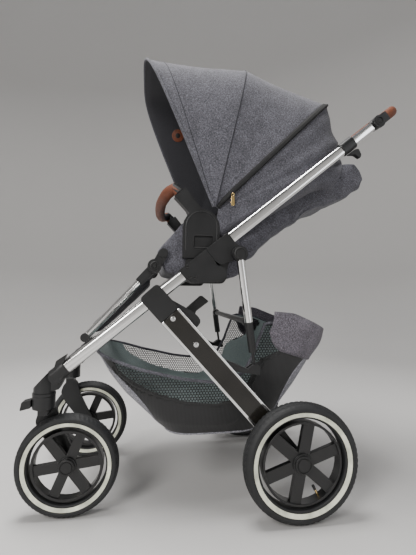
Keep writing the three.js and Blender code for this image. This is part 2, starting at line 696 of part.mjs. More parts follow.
// ---------- basket ----------
// Stations down the basket wall, from the rim to the floor: the loop's front, rear and width there.
const BASKET_LEVELS = [
  { drop: -0.1, front: -236, rear: 424, width: 1 },
  { drop: 0, front: -228, rear: 412, width: 1 },
  { drop: 0.24, front: -192, rear: 376, width: 0.99 },
  { drop: 0.5, front: -148, rear: 332, width: 0.98 },
  { drop: 0.8, front: -86, rear: 274, width: 0.94 },
  { drop: 1, front: -42, rear: 222, width: 0.84 },
];
const BASKET_RIM = [[-228, 394], [-110, 356], [0, 330], [90, 318], [150, 326], [192, 400], [214, 474],
  [290, 468], [412, 420]];
const BASKET_FLOOR = { y: 90, z: 179 };
const BASKET_STEPS = 36;

function piecewise(stations, at) {
  const found = stations.findIndex(([x]) => x >= at);
  const next = found < 1 ? (found === 0 ? 1 : stations.length - 1) : found;
  const [x0, y0] = stations[next - 1];
  const [x1, y1] = stations[next];
  return THREE.MathUtils.lerp(y0, y1, THREE.MathUtils.clamp((at - x0) / (x1 - x0), 0, 1));
}

// A point of the basket wall: angle round from the rear, drop from the rim (0) to the floor (1).
function basketPoint(angle, drop, inset) {
  const at = (key) => piecewise(BASKET_LEVELS.map((level) => [level.drop, level[key]]), drop);
  const [front, rear] = [at('front'), at('rear')];
  const round = (value) => Math.sign(value) * Math.abs(value) ** 0.45;
  const along = round(Math.cos(angle));
  const y = (front + rear) / 2 + ((rear - front) / 2 - inset) * along;
  const x = (BASKET.halfWidth * at('width') - inset) * round(Math.sin(angle));
  const rimY = THREE.MathUtils.lerp(BASKET_LEVELS[1].front, BASKET_LEVELS[1].rear, (along + 1) / 2);
  return new THREE.Vector3(x, y, THREE.MathUtils.lerp(piecewise(BASKET_RIM, rimY), BASKET_FLOOR.z + inset, drop));
}

function basketShell() {
  const centre = (inset) => new THREE.Vector3(0, BASKET_FLOOR.y, BASKET_FLOOR.z + inset);
  const grid = (inset) => {
    const rows = BASKET_LEVELS.slice(1).map(({ drop }) => Array.from({ length: BASKET_STEPS }, (_, i) => (
      basketPoint((2 * Math.PI * i) / BASKET_STEPS, drop, inset)
    )));
    rows.push(rows[rows.length - 1].map((point) => point.clone().lerp(centre(inset), 0.98)));
    return rows;
  };
  const wall = gridSolid(grid(0), grid(BASKET.thickness), true);
  const plug = new THREE.CylinderGeometry(12, 12, BASKET.thickness, 16).rotateX(Math.PI / 2);
  return union(wall, plug.translate(0, BASKET_FLOOR.y, BASKET_FLOOR.z + BASKET.thickness / 2));
}

// Soft band that stands round the outside of the basket's rear rim.
function basketFlap() {
  const reach = Math.floor(BASKET_STEPS * 0.23);
  const row = (drop, inset) => Array.from({ length: 2 * reach + 1 }, (_, i) => (
    basketPoint((2 * Math.PI * (i - reach)) / BASKET_STEPS, drop, inset)
  ));
  const layer = (inset) => [row(-0.1, inset), row(0, inset), row(0.24, inset)];
  return gridSolid(layer(-GAP - BASKET.thickness), layer(-GAP));
}

// ---------- assembly ----------
const group = new THREE.Group();
group.name = 'stroller';

function add(name, geometry, look) {
  const body = welded(geometry).translate(0, -CENTRE_Y, 0);
  body.computeVertexNormals();
  const mesh = new THREE.Mesh(body, look);
  mesh.name = name;
  group.add(mesh);
}

function addPair(name, geometry, look) {
  add(`${name}_left`, geometry, look());
  add(`${name}_right`, mirrored(geometry), look());
}

addPair('lower_tube', lowerTube(), chrome);
addPair('fold_housing', foldHousing(), blackPlastic);
add('front_axle', frontAxle(), blackPlastic());
addPair('push_tube', pushTube(), chrome);
addPair('fold_knuckle', foldKnuckle(), blackPlastic);
addPair('push_collar', collar(), blackPlastic);
addPair('fold_trigger', foldTrigger(), blackPlastic);
addPair('inner_tube', innerTube(), chrome);
addPair('tilt_hub', tiltHub(), blackPlastic);
addPair('handle_yoke', handleYoke(), blackPlastic);
add('handle_grip', handleGrip(), leather());

addPair('rear_leg', rearLeg(), chrome);
add('leg_yoke', legYoke(), blackPlastic());
add('rear_axle', rearAxle(), blackPlastic());
addPair('stay_bracket', stayBracket(), blackPlastic);
addPair('rear_stay', rearStay(), chrome);
add('stay_bar', stayBar(), blackPlastic());
add('brake_pedal', brakePedal(), blackPlastic());
add('fold_lever', foldLever(), blackPlastic());

addPair('rear_tyre', tyre(REAR_WHEEL, rearWheelCentre()), rubber);
addPair('rear_rim', rim(REAR_WHEEL, rearWheelCentre(), 19), blackPlastic);
addPair('front_tyre', tyre(FRONT_WHEEL, frontWheelCentre()), rubber);
addPair('front_rim', rim(FRONT_WHEEL, frontWheelCentre(), 7), blackPlastic);
addPair('caster_fork', casterFork(), blackPlastic);
addPair('caster_lock', casterLock(), blackPlastic);

addPair('seat_hub', seatHub(), blackPlastic);
add('seat_shell', seatShell(), melange());
add('seat_cushion', seatCushion(), melange());
add('backrest', backrest(), melange());
add('harness', harness(), darkFabric());
add('bumper_bar', bumperBar(), leather());
addPair('legrest_joint', legrestJoint(), blackPlastic);
add('legrest_frame', legrestFrame(), chrome());
add('legrest_pad', legrestPad(), darkFabric());

add('canopy_bow', canopyPanel([BOWS.front, BOWS.lining], CANOPY_THICKNESS + GAP, 5), darkFabric());
add('canopy_front', canopyPanel([BOWS.front, BOWS.lining, shifted(BOWS.middle, 0.1)]), melange());
add('canopy_rear', canopyPanel([BOWS.middle, shifted(BOWS.zip, 0.1)]), melange());
add('canopy_back', canopyPanel([BOWS.zip, BOWS.shoulder, BOWS.back, BOWS.hem]), melange());

add('basket_shell', basketShell(), darkFabric());
add('basket_flap', basketFlap(), melange());

export default group;
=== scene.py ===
"""Looks of a folding baby stroller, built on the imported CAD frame. Metres, +Z up, +Y towards the handle."""

import math
import json

import bmesh
import bpy
from mathutils import Matrix, Quaternion, Vector, noise


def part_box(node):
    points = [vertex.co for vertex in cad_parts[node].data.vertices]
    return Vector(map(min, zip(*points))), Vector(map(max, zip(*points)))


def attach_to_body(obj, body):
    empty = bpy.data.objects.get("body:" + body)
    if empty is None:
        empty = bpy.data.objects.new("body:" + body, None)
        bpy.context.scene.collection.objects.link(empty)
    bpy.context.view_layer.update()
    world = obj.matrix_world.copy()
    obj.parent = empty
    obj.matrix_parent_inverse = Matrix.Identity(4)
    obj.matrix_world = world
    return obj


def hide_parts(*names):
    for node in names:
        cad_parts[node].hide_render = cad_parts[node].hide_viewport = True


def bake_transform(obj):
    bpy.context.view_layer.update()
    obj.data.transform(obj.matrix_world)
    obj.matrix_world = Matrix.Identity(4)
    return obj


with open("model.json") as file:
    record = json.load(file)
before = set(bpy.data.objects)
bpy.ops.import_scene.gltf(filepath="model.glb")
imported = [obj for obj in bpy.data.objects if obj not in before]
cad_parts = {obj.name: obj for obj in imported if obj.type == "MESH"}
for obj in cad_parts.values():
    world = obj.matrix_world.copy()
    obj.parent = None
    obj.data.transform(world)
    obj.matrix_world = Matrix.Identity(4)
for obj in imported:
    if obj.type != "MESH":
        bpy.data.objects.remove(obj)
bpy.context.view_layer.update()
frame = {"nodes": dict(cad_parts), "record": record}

SIDES = {"left": 1, "right": -1}     # each side's way out along X
UP = Vector((0, 0, 1))


def box_of(node):
    """The low and the high corner of a CAD node's box."""
    return [Vector(corner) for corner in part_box(node)]


# ---------- camera ----------
EYE = Vector((1.1639, -0.1907, 0.5533))
HEADING, PITCH, ROLL = (math.radians(a) for a in (8.99, 2.25, 0.54))
LENS = 24.39                # mm, on a sensor 36 mm along the picture's long side


def make_camera():
    data = bpy.data.cameras.new("camera")
    data.lens = LENS
    camera = bpy.data.objects.new("camera", data)
    bpy.context.collection.objects.link(camera)
    forward = Vector((
        -math.cos(HEADING) * math.cos(PITCH),
        math.sin(HEADING) * math.cos(PITCH),
        math.sin(PITCH),
    ))
    camera.rotation_mode = "QUATERNION"
    camera.rotation_quaternion = forward.to_track_quat("-Z", "Y") @ Quaternion(UP, ROLL)
    camera.location = EYE
    bpy.context.scene.camera = camera


make_camera()


# ---------- mesh helpers ----------
def add_object(name, data):
    piece = bpy.data.objects.new(name, data)
    bpy.context.collection.objects.link(piece)
    return piece


def mesh_piece(name, points, faces, *materials, sharp=40):
    mesh = bpy.data.meshes.new(name)
    mesh.from_pydata([tuple(p) for p in points], [], faces)
    for material in materials:
        mesh.materials.append(material)
    mesh.shade_smooth()
    if sharp:
        mesh.set_sharp_from_angle(angle=math.radians(sharp))
    mesh.validate()
    mesh.update()
    return add_object(name, mesh)


def grid_faces(rows, columns, closed=False):
    """Quads of a grid of points listed row by row; closed joins the last column to the first."""
    wrap = columns if closed else columns - 1
    faces = []
    for i in range(rows - 1):
        for j in range(wrap):
            k = (j + 1) % columns
            faces.append((i * columns + j, i * columns + k, (i + 1) * columns + k, (i + 1) * columns + j))
    return faces


def prism_faces(count):
    """Faces of a prism whose points list one end's outline and then the other's."""
    ends = [tuple(range(count)), tuple(range(count, 2 * count))]
    return ends + [(i, (i + 1) % count, count + (i + 1) % count, count + i) for i in range(count)]


def apply_modifiers(piece):
    """Bakes a piece's modifiers into its mesh."""
    bpy.context.view_layer.update()
    depsgraph = bpy.context.evaluated_depsgraph_get()
    mesh = bpy.data.meshes.new_from_object(piece.evaluated_get(depsgraph), depsgraph=depsgraph)
    piece.modifiers.clear()
    piece.data = mesh


def thicken(piece, thickness, inner_slot=0, outward=False):
    solid = piece.modifiers.new("thickness", "SOLIDIFY")
    solid.thickness = thickness
    solid.offset = 1 if outward else -1
    solid.material_offset = inner_slot
    solid.use_even_offset = False
    apply_modifiers(piece)


def round_edges(piece, width):
    edges = piece.modifiers.new("edges", "BEVEL")
    edges.width = width
    edges.segments = 2
    return edges


def subdivide(piece):
    """One round of smooth subdivision."""
    piece.modifiers.new("smooth", "SUBSURF").levels = 1
    piece.modifiers["smooth"].render_levels = 1
    apply_modifiers(piece)
    piece.data.shade_smooth()


def face_area(mesh):
    return sum(face.area for face in mesh.polygons)


def body_of(node):
    return next(body for body, nodes in frame["record"]["behaviour"]["bodies"].items() if node in nodes)


def attach(piece, node):
    """The piece rides on the body of a CAD node and stands for it."""
    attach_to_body(piece, body_of(node))
    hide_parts(node)


def detail(piece, node):
    """The piece rides on the body of a CAD node, and the node still shows."""
    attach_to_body(piece, body_of(node))


def sweep_piece(name, path, radius, material, sides=10, closed=False):
    """A round rod along a list of points."""
    points = []
    count = len(path)
    tangents = []
    for i in range(count):
        ahead = path[(i + 1) % count] if closed or i < count - 1 else path[i]
        behind = path[i - 1] if closed or i > 0 else path[i]
        tangents.append((ahead - behind).normalized())
    side = tangents[0].orthogonal().normalized()
    for point, tangent in zip(path, tangents):
        side = (side - tangent * side.dot(tangent)).normalized()
        other = tangent.cross(side)
        for k in range(sides):
            a = 2 * math.pi * k / sides
            points.append(point + radius * (math.cos(a) * side + math.sin(a) * other))
    faces = grid_faces(count, sides, closed=True)
    if closed:
        last = (count - 1) * sides
        faces += [(last + k, last + (k + 1) % sides, (k + 1) % sides, k) for k in range(sides)]
    else:
        faces.append(tuple(reversed(range(sides))))
        faces.append(tuple(range((count - 1) * sides, count * sides)))
    return mesh_piece(name, points, faces, material)


def ring_faces(segments, count, closed):
    """Quads round a lathe whose section has count points; closed joins the section's ends."""
    faces = []
    for i in range(segments):
        here, ahead = i * count, ((i + 1) % segments) * count
        for j in range(count if closed else count - 1):
            k = (j + 1) % count
            faces.append((here + j, here + k, ahead + k, ahead + j))
    return faces


def turned_piece(name, profile, centre, material, segments=96, closed_profile=False):
    """A solid turned round an axis along X. An open profile starts and ends on the axis."""
    points = []
    for i in range(segments):
        a = 2 * math.pi * i / segments
        turn = Vector((0, math.cos(a), math.sin(a)))
        points += [Vector((x, centre.y, centre.z)) + radius * turn for x, radius in profile]
    piece = mesh_piece(name, points, ring_faces(segments, len(profile), closed_profile), material)
    weld(piece.data)
    face_outward(piece.data)
    return piece


def edit_mesh(mesh, action):
    """Runs an action on the mesh's editable form."""
    edit = bmesh.new()
    edit.from_mesh(mesh)
    action(edit)
    edit.to_mesh(mesh)
    edit.free()


def weld(mesh):
    edit_mesh(mesh, lambda edit: bmesh.ops.remove_doubles(edit, verts=edit.verts, dist=1e-5))


def face_outward(mesh):
    edit_mesh(mesh, lambda edit: bmesh.ops.recalc_face_normals(edit, faces=edit.faces))


def merge_flat_faces(mesh):
    edit_mesh(mesh, lambda edit: bmesh.ops.dissolve_limit(
        edit, angle_limit=math.radians(0.6), verts=edit.verts, edges=edit.edges, delimit=set()))


# ---------- material helpers ----------
def new_material(name, color, roughness=0.5, metallic=0.0, **sockets):
    material = bpy.data.materials.new(name)
    material.use_nodes = True
    shader = material.node_tree.nodes["Principled BSDF"]
    shader.inputs["Base Color"].default_value = (*color, 1)
    shader.inputs["Roughness"].default_value = roughness
    shader.inputs["Metallic"].default_value = metallic
    for socket, value in sockets.items():
        shader.inputs[socket.replace("_", " ")].default_value = value
    material.diffuse_color = (*color, 1)
    return material


class Graph:
    """Short calls for adding nodes to a material."""

    def __init__(self, material):
        self.tree = material.node_tree
        self.shader = self.tree.nodes["Principled BSDF"]
        self.place = self.tree.nodes.new("ShaderNodeTexCoord").outputs["Object"]

    def node(self, kind, **inputs):
        made = self.tree.nodes.new("ShaderNode" + kind)
        for name, value in inputs.items():
            socket = made.inputs[name.replace("_", " ")]
            if hasattr(value, "links"):
                self.tree.links.new(value, socket)
            else:
                socket.default_value = value
        return made

    def stretched(self, scale):
        return self.node("Mapping", Vector=self.place, Scale=scale).outputs["Vector"]

    def noise(self, scale, detail, vector=None):
        made = self.node("TexNoise", Vector=vector or self.place, Scale=scale, Detail=detail, Roughness=0.5)
        return made.outputs["Fac"]

    def waves(self, scale, direction):
        made = self.node("TexWave", Vector=self.place, Scale=scale, Distortion=0.0)
        made.bands_direction = direction
        return made.outputs["Fac"]

    def cells(self, scale):
        return self.node("TexVoronoi", Vector=self.place, Scale=scale).outputs["Distance"]

    def math(self, operation, a, b=0.0):
        made = self.tree.nodes.new("ShaderNodeMath")
        made.operation = operation
        for socket, value in zip(made.inputs, (a, b)):
            if hasattr(value, "links"):
                self.tree.links.new(value, socket)
            else:
                socket.default_value = value
        return made.outputs[0]

    def ramp(self, factor, *stops):
        made = self.node("ValToRGB", Fac=factor)
        ramp = made.color_ramp
        while len(ramp.elements) < len(stops):
            ramp.elements.new(0.5)
        for element, (position, color) in zip(ramp.elements, stops):
            element.position = position
            element.color = (*color, 1)
        return made.outputs["Color"]

    def bump(self, height, distance, strength=1.0):
        made = self.node("Bump", Height=height, Distance=distance, Strength=strength)
        self.tree.links.new(made.outputs["Normal"], self.shader.inputs["Normal"])

    def parts(self):
        """X, Y and Z of the place on the object."""
        made = self.node("SeparateXYZ", Vector=self.place)
        return [made.outputs[axis] for axis in "XYZ"]

    def mix(self, first, first_share, second, second_share):
        """A weighted sum."""
        return self.math(
            "ADD", self.math("MULTIPLY", first, first_share), self.math("MULTIPLY", second, second_share))

    def set(self, socket, value):
        self.tree.links.new(value, self.shader.inputs[socket])

    def tint(self, factor, color, *stops):
        """Base colour from a ramp whose stops each give a position and a brightness of the colour."""
        self.set("Base Color", self.ramp(factor, *[(at, scaled(color, share)) for at, share in stops]))

    def gloss(self, factor, spread, least):
        """Roughness that runs from least up to least plus spread."""
        self.set("Roughness", self.math("ADD", self.math("MULTIPLY", factor, spread), least))


def scaled(color, factor):
    return tuple(min(1, c * factor) for c in color)


# ---------- materials ----------
def melange_cloth(name, color, contrast=0.56, thread=0.0009):
    """Heathered woven cloth: threads in two directions, each with light and dark fibres."""
    material = new_material(name, color, 0.95, Sheen_Weight=0.12, Sheen_Roughness=0.5)
    graph = Graph(material)
    repeat = 1 / thread
    long, short = repeat * 0.2, repeat * 0.62
    along = graph.noise(1.0, 1.0, graph.stretched((short, long, short)))
    across = graph.noise(1.0, 1.0, graph.stretched((short, short, long)))
    fibres = graph.math("MULTIPLY", graph.math("ADD", along, across), 0.5)
    patches = graph.noise(28.0, 3.0)
    tone = graph.mix(fibres, 0.86, patches, 0.14)
    graph.tint(tone, color, (0.39, 1 - contrast), (0.5, 1), (0.61, 1 + 1.7 * contrast))
    ribs = repeat * 0.16
    weave = graph.math("MULTIPLY", graph.waves(ribs, "Y"), graph.waves(ribs, "Z"))
    graph.bump(graph.math("ADD", weave, fibres), thread * 0.5, 0.7)
    return material


def dark_cloth(name, color, sheen=0.12):
    """Fine dark lining cloth."""
    material = new_material(name, color, 0.9, Sheen_Weight=sheen, Sheen_Roughness=0.4)
    graph = Graph(material)
    fibres = graph.noise(900.0, 2.0)
    graph.tint(fibres, color, (0.3, 0.65), (0.7, 1.5))
    graph.bump(fibres, 0.0004, 0.6)
    return material


def ribbed_cloth(name, color):
    """Dark mesh cloth with fine upright ribs."""
    material = new_material(name, color, 0.6, Sheen_Weight=0.15)
    graph = Graph(material)
    ribs = graph.waves(90.0, "Y")
    weave = graph.noise(700.0, 2.0)
    graph.tint(ribs, color, (0.15, 0.45), (0.8, 1.7))
    graph.bump(graph.math("ADD", ribs, graph.math("MULTIPLY", weave, 0.5)), 0.0008, 0.8)
    return material


def webbing(name, color):
    """Woven strap with a tight rib across it."""
    material = new_material(name, color, 0.7)
    graph = Graph(material)
    ribs = graph.waves(260.0, "Z")
    graph.tint(ribs, color, (0.2, 0.6), (0.8, 1.5))
    graph.bump(ribs, 0.0005, 0.8)
    return material


def plastic(name, color, roughness=0.42, grain=0.00016):
    """Moulded plastic with a fine eroded texture and slightly worn, uneven gloss."""
    material = new_material(name, color, roughness)
    graph = Graph(material)
    fine = graph.noise(1600.0, 2.0)
    broad = graph.noise(22.0, 3.0)
    graph.gloss(broad, 0.2, roughness - 0.1)
    graph.tint(broad, color, (0.3, 0.85), (0.75, 1.25))
    graph.bump(fine, grain, 0.5)
    return material


def polished_metal(name, color, roughness=0.07):
    """Chromed tube: mirror gloss with faint haze and drawing lines."""
    material = new_material(name, color, roughness, 1.0)
    graph = Graph(material)
    haze = graph.noise(14.0, 4.0)
    graph.gloss(haze, 0.07, roughness - 0.03)
    graph.bump(graph.noise(60.0, 2.0), 0.0001, 0.12)
    return material


def grained_leather(name, color):
    """Leather with a pebbled grain, darker creases and worn lighter tops."""
    material = new_material(name, color, 0.55)
    graph = Graph(material)
    grain = graph.cells(330.0)
    tone = graph.noise(45.0, 4.0)
    graph.tint(graph.mix(grain, 0.35, tone, 0.75), color, (0.35, 0.7), (0.6, 1), (0.85, 1.45))
    graph.gloss(grain, 0.2, 0.48)
    graph.bump(grain, 0.0006, 0.7)
    return material


def tyre_rubber(name, color):
    """Dull rubber with an uneven, dusty tone."""
    material = new_material(name, color, 0.68)
    graph = Graph(material)
    broad = graph.noise(35.0, 4.0)
    graph.gloss(broad, 0.25, 0.52)
    graph.tint(broad, color, (0.3, 0.8), (0.75, 1.5))
    graph.bump(graph.noise(900.0, 3.0), 0.0003, 0.5)
    return material


GREY = (0.077, 0.076, 0.091)
MELANGE = melange_cloth("grey_melange", GREY)
END_CLOTH = melange_cloth("basket_end_melange", (0.22, 0.218, 0.245))
FLAP_CLOTH = melange_cloth("violet_grey_melange", (0.115, 0.105, 0.125))
LINING = dark_cloth("dark_lining", (0.026, 0.026, 0.031))
ZIP_CLOTH = dark_cloth("zip_tape_cloth", (0.005, 0.005, 0.0055), 0.0)
SEAM_THREAD = dark_cloth("seam_thread", (0.022, 0.022, 0.028))
BASKET_CLOTH = ribbed_cloth("basket_cloth", (0.011, 0.011, 0.012))
# Inner faces of the dark basket cloth, painted pale teal: painted light standing for the backdrop's light
# shining through the mesh.
BASKET_INSIDE_PAINTED_BACKLIGHT = dark_cloth("basket_inside_painted_backlight", (0.25, 0.3, 0.3))
BASKET_NET = plastic("basket_net", (0.012, 0.013, 0.013), 0.6)
STRAP = webbing("strap", (0.022, 0.022, 0.026))
PLASTIC = plastic("black_plastic", (0.0085, 0.0088, 0.0095))
PLASTIC_SOFT = plastic("soft_black_plastic", (0.0065, 0.0065, 0.007), 0.5)
RIM_PLASTIC = plastic("rim_plastic", (0.008, 0.008, 0.0085), 0.36)
PANEL = plastic("gloss_panel", (0.012, 0.0105, 0.0085), 0.14, 0.00004)
CHROME = polished_metal("chrome", (0.86, 0.86, 0.855))
STEEL = polished_metal("screw_steel", (0.6, 0.6, 0.6), 0.22)
DARK_STEEL = polished_metal("dark_screw_steel", (0.09, 0.09, 0.09), 0.18)
BRASS = polished_metal("brass", (0.83, 0.6, 0.26), 0.2)
LEATHER = grained_leather("cognac_leather", (0.15, 0.042, 0.017))
RUBBER = tyre_rubber("tyre_rubber", (0.011, 0.0115, 0.0125))
CREAM = tyre_rubber("cream_ring", (0.66, 0.68, 0.55))


# ---------- hard parts ----------
def skin(node, material, bevel=0.0012):
    """A copy of a CAD node with rounded edges and smooth curved faces, which stands for it."""
    mesh = frame["nodes"][node].data.copy()
    weld(mesh)
    merge_flat_faces(mesh)
    mesh.materials.clear()
    mesh.materials.append(material)
    for face in mesh.polygons:
        face.material_index = 0
    mesh.shade_smooth()
    mesh.set_sharp_from_angle(angle=math.radians(32))
    piece = add_object(node + "_skin", mesh)
    if bevel:
        edges = round_edges(piece, bevel)
        edges.limit_method = "ANGLE"
        edges.angle_limit = math.radians(34)
        edges.use_clamp_overlap = True
        edges.harden_normals = True
    attach(piece, node)
    return piece


def fill_slots(piece, slots):
    """Gives each face its material slot from a list."""
    for face, slot in zip(piece.data.polygons, slots):
        face.material_index = slot


def paint_faces(piece, material, test):
    """Gives a second material to the faces whose centre and normal pass the test."""
    piece.data.materials.append(material)
    slot = len(piece.data.materials) - 1
    for face in piece.data.polygons:
        if test(face.center, face.normal):
            face.material_index = slot


PAIRS = {
    "lower_tube": CHROME, "push_tube": CHROME, "inner_tube": CHROME,
    "fold_housing": PLASTIC, "fold_knuckle": PLASTIC, "push_collar": PLASTIC, "fold_trigger": PLASTIC_SOFT,
    "tilt_hub": PLASTIC, "handle_yoke": PLASTIC, "stay_bracket": PLASTIC, "caster_fork": PLASTIC,
    "caster_lock": PLASTIC_SOFT, "seat_hub": PLASTIC, "legrest_joint": PLASTIC,
    "rear_rim": RIM_PLASTIC, "front_rim": RIM_PLASTIC,
}
SINGLES = {
    "front_axle": PLASTIC, "leg_yoke": PLASTIC, "rear_axle": PLASTIC, "brake_pedal": PLASTIC_SOFT,
    "fold_lever": PLASTIC_SOFT, "stay_bar": PLASTIC,
}


def hard_parts():
    for name, material in PAIRS.items():
        for side in SIDES:
            skin(f"{name}_{side}", material)
    for name, material in SINGLES.items():
        skin(name, material)


hard_parts()


def stepped_cap(name, node, place, outward, steps, material=PLASTIC_SOFT, segments=40):
    """A round cap at a place on a node's side; its steps pair a distance outward with a radius."""
    profile = [(place.x + outward * x, radius) for x, radius in steps]
    detail(turned_piece(name, profile, place, material, segments), node)


def rivet(name, node, place, outward, radius, material):
    """A low domed screw head with a rim."""
    shape = ((0, 1.25), (0.0006, 1.25), (0.0006, 1), (0.0014, 0.8), (0.0017, 0.35), (0.0008, 0.3),
             (0.0008, 0))
    steps = [(x, radius * share) for x, share in shape]
    stepped_cap(name, node, place, outward, steps, material, 20)


PANEL_THICKNESS = 0.0012
PANEL_MARGIN = 0.0065       # bright metal left on each side of a leg's dark panel


def rear_legs():
    """Chromed legs, each face filled by a glossy dark panel that leaves bright edges."""
    for side, outward in SIDES.items():
        node = f"rear_leg_{side}"
        skin(node, CHROME, 0.003)
        corners = leg_corners(node)
        for face, way in (("outer", outward), ("inner", -outward)):
            panel = leg_panel(f"{node}_{face}_panel", corners, face_x(node, way), way)
            detail(panel, node)
        for i, share in enumerate((0.03, 0.27)):
            spot = corners["start"].lerp(corners["end"], share)
            spot.x = face_x(node, outward) + outward * PANEL_THICKNESS
            rivet(f"{node}_rivet_{i}", node, spot, outward, 0.0052, STEEL)


def face_x(node, outward):
    """X of a CAD node's face on one side."""
    low, high = box_of(node)
    return high.x if outward > 0 else low.x


def leg_corners(node):
    """The middle of a leg's two ends and its half width, from its corners seen from the side."""
    points = [Vector((0, v.co.y, v.co.z)) for v in frame["nodes"][node].data.vertices]
    top = sorted(points, key=lambda p: p.z)[-1]
    foot = sorted(points, key=lambda p: p.z)[0]
    front = sorted(points, key=lambda p: p.y)[0]
    rear = sorted(points, key=lambda p: p.y)[-1]
    return {"start": (top + front) / 2, "end": (foot + rear) / 2, "half": (top - front).length / 2}


def leg_panel(name, corners, at, outward):
    """A thin plate over a leg's face at an X, with bright metal left along its sides."""
    start, end, half = corners["start"], corners["end"], corners["half"]
    along = (end - start).normalized()
    across = Vector((0, -along.z, along.y))
    width, length = half - PANEL_MARGIN, (end - start).length
    outline = []
    for u, v in ((0.001, -width), (length - 0.004, -width), (length - 0.004, width), (0.001, width)):
        outline.append(start + along * u + across * v)
    points = [Vector((at - outward * 0.001, p.y, p.z)) for p in outline]
    points += [Vector((at + outward * PANEL_THICKNESS, p.y, p.z)) for p in outline]
    piece = mesh_piece(name, points, prism_faces(len(outline)), PANEL, sharp=30)
    face_outward(piece.data)
    round_edges(piece, 0.0008)
    return piece


rear_legs()


STAY_HEAD = 0.052           # length of the black head at a stay's top
STAY_EYE = 0.0195           # depth of its pivot below the top


def rear_stays():
    """Chromed stays with black ends and an adjustable black sleeve."""
    for side, outward in SIDES.items():
        node = f"rear_stay_{side}"
        piece = skin(node, PLASTIC)
        low, high = box_of(node)
        top, start = high.z - STAY_HEAD, low.z + 0.455 * (high.z - low.z)
        paint_faces(piece, CHROME, lambda c, n: start < c.z < top)
        for i in range(7):
            share = 0.19 + 0.034 * i
            spot = low.lerp(high, share)
            spot.y = stay_line(node, share)
            spot.x = (low.x + high.x) / 2 + outward * 0.0092
            rivet(f"{node}_dot_{i}", node, spot, outward, 0.0016, PLASTIC_SOFT)


def stay_line(node, share):
    """Y of a stay's axis at a share of its height."""
    points = [v.co for v in frame["nodes"][node].data.vertices]
    low, high = min(p.z for p in points), max(p.z for p in points)
    foot = [p.y for p in points if p.z < low + 0.02]
    head = [p.y for p in points if p.z > high - 2 * STAY_EYE]
    foot_y = (min(foot) + max(foot)) / 2
    head_y = (min(head) + max(head)) / 2
    foot_z, head_z = low + 0.01, high - STAY_EYE
    z = low + share * (high - low)
    return foot_y + (head_y - foot_y) * (z - foot_z) / (head_z - foot_z)


rear_stays()


def legrest_tube():
    """The leg rest's chromed hoop with black arms and end caps."""
    piece = skin("legrest_frame", CHROME)
    low, high = box_of("legrest_frame")
    arm_end = high.z - 0.075
    cap = high.x - 0.0215
    paint_faces(piece, PLASTIC, lambda c, n: c.z > arm_end or (abs(c.x) > cap and c.z < low.z + 0.024))


legrest_tube()


def screws():
    """Small dark screw heads on the fold housings, and a round cap on each stay's pivot."""
    for side, outward in SIDES.items():
        housing = f"fold_housing_{side}"
        low, high = box_of(housing)
        for i, (u, v) in enumerate(((0.16, 0.47), (0.24, 0.16), (0.33, 0.15))):
            y, z = low.y + u * (high.y - low.y), low.z + v * (high.z - low.z)
            spot = Vector((face_x(housing, outward), y, z))
            rivet(f"housing_screw_{side}_{i}", housing, spot, outward, 0.0027, DARK_STEEL)
        stay = f"rear_stay_{side}"
        pivot = Vector((face_x(stay, outward), stay_line(stay, 0.94), box_of(stay)[1].z - STAY_EYE))
        steps = ((0, 0.0165), (0.0012, 0.0165), (0.0024, 0.0145), (0.0024, 0.0125), (0.0008, 0.0115),
                 (0.0014, 0.006), (0.0016, 0))
        stepped_cap(f"stay_cap_{side}", stay, pivot, outward, steps)


def joint_place(name):
    """Where a joint's axis is."""
    joints = frame["record"]["behaviour"]["joints"]
    return Vector(next(joint["pos_m"] for joint in joints if joint["name"] == name))


def pivot_caps():
    """Round stepped buttons on the outside of the handle's tilt joints and the leg rest's joints."""
    shape = ((0, 1.0), (0.0014, 1.0), (0.0022, 0.9), (0.0022, 0.74), (0.0004, 0.68), (0.0004, 0.5),
             (0.0016, 0.42), (0.0018, 0))
    caps = (("handle_tilt", "handle_yoke", 0.0125), ("legrest_tilt", "legrest_joint", 0.0115))
    for joint, name, radius in caps:
        for side, outward in SIDES.items():
            node = f"{name}_{side}"
            place = joint_place(joint)
            place.x = face_x(node, outward)
            steps = [(x, radius * share) for x, share in shape]
            stepped_cap(f"{name}_cap_{side}", node, place, outward, steps)


screws()
pivot_caps()


# ---------- wheels ----------
TREAD_BLOCKS = 66


